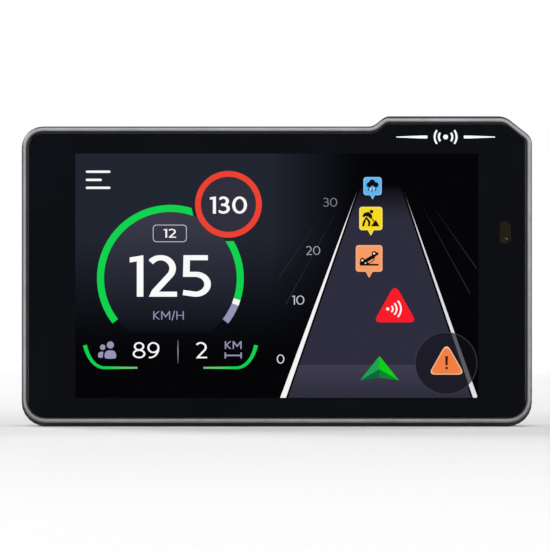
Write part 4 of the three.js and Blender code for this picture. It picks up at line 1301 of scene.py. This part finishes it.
class ALERT_OT_back_fittings(Operator):
    """Make the holder plate, the screws, the blank label and the speaker's mesh"""

    bl_idname = "alert_unit.back_fittings"
    bl_label = "Back Fittings"

    def label_print(self):
        """A border, four plain lines and a row of bars, with nothing to read."""
        low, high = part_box("rating_label")
        place = middle("rating_label")
        sheet = Sheet((place.x, high.y, place.z), TOWARDS_BACK)
        ink = moulded("label_print", rgb(150, 152, 156), 0.5 * MM, 0.4)
        margin, line = 0.9, 0.18
        half_w, half_h = (high.x - low.x) / 2 / MM - margin, (high.z - low.z) / 2 / MM - margin
        border = [
            bar(-half_w, -half_h, half_w, half_h, 0.7),
            bar(-half_w + line, -half_h + line, half_w - line, half_h - line, 0.6),
        ]
        hand_over(flat_shape("label_border", sheet, border, 0, LABEL_INK), ink)
        bars = []
        for row in range(4):
            z = half_h - 2.2 - row * 1.5
            right = half_w - 1.4 - (row % 3) * 3.1
            bars.append(bar(-half_w + 1.2, z - 0.16, right, z + 0.16, 0.1))
        for column in range(14):
            x = -half_w + 1.4 + column * 0.72
            right = x + 0.16 + 0.14 * (column * 5 % 3)
            bars.append(bar(x, -half_h + 1.0, right, -half_h + 3.3, 0.03))
        hand_over(flat_shape("label_bars", sheet, bars, 0, LABEL_INK), ink)

    def execute(self, context):
        edge = context.scene.alert_finish.edge
        plate = refined("mount_plate", "holder_plate", edge * 1.5)
        turned = brushed("turned_steel", (0.5, 0.51, 0.53), middle("mount_plate"), 0.3)
        hand_over(plate, turned)
        dark_steel = brushed("dark_steel", (0.12, 0.12, 0.13), None, 0.34)
        for node in sorted(frame["nodes"]):
            if node.startswith("case_screw"):
                hand_over(refined(node, node + "_head", edge * 0.6), dark_steel)
        dress("rating_label", "label_film", edge * 0.3, "label")
        self.label_print()
        woven = woven_mesh("woven_mesh", (0.10, 0.10, 0.11))
        for slot in frame["nodes"]["speaker_mesh"].material_slots:
            slot.material = woven
        return {"FINISHED"}


class ALERT_OT_socket(Operator):
    """Make the cable socket's shell and its tongue with the contacts"""

    bl_idname = "alert_unit.socket"
    bl_label = "Cable Socket"

    def execute(self, context):
        edge = context.scene.alert_finish.edge
        dress("usb_shell", "socket_shell", edge * 0.4, "steel")
        dress("usb_tongue", "socket_tongue", edge * 0.8, "seal_rubber")
        low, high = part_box("usb_tongue")
        x = low.x + 1.6 * MM
        count = 12
        pitch = 0.5 * MM
        size = (2.2 * MM, 0.03 * MM, 0.26 * MM)
        for side, y in (("front", low.y), ("back", high.y)):
            for k in range(count):
                z = (low.z + high.z) / 2 + (k - (count - 1) / 2) * pitch
                select_none()
                bpy.ops.mesh.primitive_cube_add(size=1, location=(x, y, z), scale=size)
                contact = bpy.context.object
                contact.name = f"contact_{side}_{k + 1}"
                bpy.ops.object.transform_apply(location=True, rotation=True, scale=True)
                broken_edges(contact, 0.01 * MM, segments=1)
                hand_over(contact, packed_finish("gold"))
        return {"FINISHED"}


# ---- The stage ----


class ALERT_OT_stage(Operator):
    """Set the pale floor, the soft lights and the camera in front of the glass"""

    bl_idname = "alert_unit.stage"
    bl_label = "Stage"

    def floor(self, colour):
        """A pale disc that fades out far from the unit."""
        select_none()
        bpy.ops.mesh.primitive_circle_add(
            vertices=128, radius=1.2, fill_type="NGON", location=(0, 0, -0.02 * MM)
        )
        floor = bpy.context.object
        floor.name = "floor"
        bpy.ops.object.transform_apply(location=True, rotation=True, scale=True)
        finish = Finish("floor", roughness=0.75)
        cloud = finish.noise(60 * MM)
        finish.set("Base Color", finish.between(cloud, shade(colour, 0.99), colour))
        reach = finish.vector("LENGTH", finish.place, output="Value")
        finish.set("Alpha", finish.span(reach, 0.9, 0.2))
        floor.data.materials.append(finish.material)
        floor.visible_glossy = False

    def light(self, name, place, target, size, power):
        data = bpy.data.lights.new(name, "AREA")
        data.shape = "RECTANGLE"
        data.size, data.size_y = size
        data.energy = power
        lamp = bpy.data.objects.new(name, data)
        lamp.location = place
        lamp.rotation_euler = (Vector(target) - Vector(place)).to_track_quat("-Z", "Y").to_euler()
        lamp.visible_camera = False
        bpy.context.collection.objects.link(lamp)

    def world(self):
        """White to the camera and dim to everything else."""
        world = bpy.data.worlds.new("studio")
        world.use_nodes = True
        nodes, links = world.node_tree.nodes, world.node_tree.links
        nodes.clear()
        path = nodes.new("ShaderNodeLightPath")
        mix = nodes.new("ShaderNodeMixShader")
        out = nodes.new("ShaderNodeOutputWorld")
        links.new(path.outputs["Is Camera Ray"], mix.inputs[0])
        ambient, seen = 0.03, 1.0
        for socket, strength in ((mix.inputs[1], ambient), (mix.inputs[2], seen)):
            white = nodes.new("ShaderNodeBackground")
            white.inputs["Color"].default_value = (1.0, 1.0, 1.0, 1.0)
            white.inputs["Strength"].default_value = strength
            links.new(white.outputs[0], socket)
        links.new(mix.outputs[0], out.inputs["Surface"])
        bpy.context.scene.world = world

    def camera(self, settings):
        low, high = CAD_BOX
        centre = (low + high) / 2
        data = bpy.data.cameras.new("camera")
        frame_width = (high.x - low.x) / settings.fill
        data.sensor_width = 36.0
        data.lens = data.sensor_width * settings.distance / frame_width
        camera = bpy.data.objects.new("camera", data)
        lowered, left = 0.8 * MM, 0.39 * MM
        camera.location = (centre.x - left, low.y - settings.distance, centre.z - lowered)
        camera.rotation_euler = (math.pi / 2, 0, 0)
        data.clip_start, data.clip_end = 0.01, 20
        bpy.context.collection.objects.link(camera)
        bpy.context.scene.camera = camera

    def execute(self, context):
        settings = context.scene.alert_stage
        self.floor(settings.floor)
        self.world()
        self.camera(settings)
        aim = (0, 0, 0.033)
        lamps = (
            ("top_softbox", (0, -0.1, 0.9), (0.9, 0.5), 2.9),
            ("front_top", (0, -1.0, 0.8), (0.9, 0.25), 4.4),
            ("front_left", (-0.75, -1.0, 0.25), (0.25, 0.6), 6.0),
            ("front_right", (0.75, -1.0, 0.25), (0.25, 0.6), 6.0),
            ("back_left", (-0.6, 0.8, 0.45), (0.5, 0.5), 7.0),
            ("back_right", (0.7, 0.6, 0.3), (0.3, 0.5), 4.0),
        )
        for name, place, size, watts in lamps:
            self.light(name, place, aim, size, watts * settings.light)
        context.scene.view_settings.view_transform = "Standard"
        return {"FINISHED"}


STEPS = (
    ALERT_OT_inner_parts,
    ALERT_OT_housing,
    ALERT_OT_front,
    ALERT_OT_power_key,
    ALERT_OT_back_fittings,
    ALERT_OT_socket,
    ALERT_OT_picture_ground,
    ALERT_OT_road,
    ALERT_OT_gauge,
    ALERT_OT_readouts,
    ALERT_OT_road_marks,
    ALERT_OT_stage,
)


class ALERT_PT_panel(Panel):
    """Lists the unit's settings and the steps that build it"""

    bl_idname = "ALERT_PT_panel"
    bl_label = "Driver Alert Unit"
    bl_space_type = "VIEW_3D"
    bl_region_type = "UI"
    bl_category = "Alert Unit"

    def draw(self, context):
        layout = self.layout
        for group in (
            context.scene.alert_picture,
            context.scene.alert_finish,
            context.scene.alert_stage,
        ):
            box = layout.box()
            for key in group.__annotations__:
                box.prop(group, key)
        for step in STEPS:
            layout.operator(step.bl_idname)


CLASSES = (PictureSettings, FinishSettings, StageSettings, *STEPS, ALERT_PT_panel)


def register():
    for item in CLASSES:
        bpy.utils.register_class(item)
    bpy.types.Scene.alert_picture = PointerProperty(type=PictureSettings)
    bpy.types.Scene.alert_finish = PointerProperty(type=FinishSettings)
    bpy.types.Scene.alert_stage = PointerProperty(type=StageSettings)


def unregister():
    del bpy.types.Scene.alert_stage
    del bpy.types.Scene.alert_finish
    del bpy.types.Scene.alert_picture
    for item in reversed(CLASSES):
        bpy.utils.unregister_class(item)


def main():
    register()
    for step in STEPS:
        group, action = step.bl_idname.split(".")
        getattr(getattr(bpy.ops, group), action)()


if __name__ == "__main__":
    main()
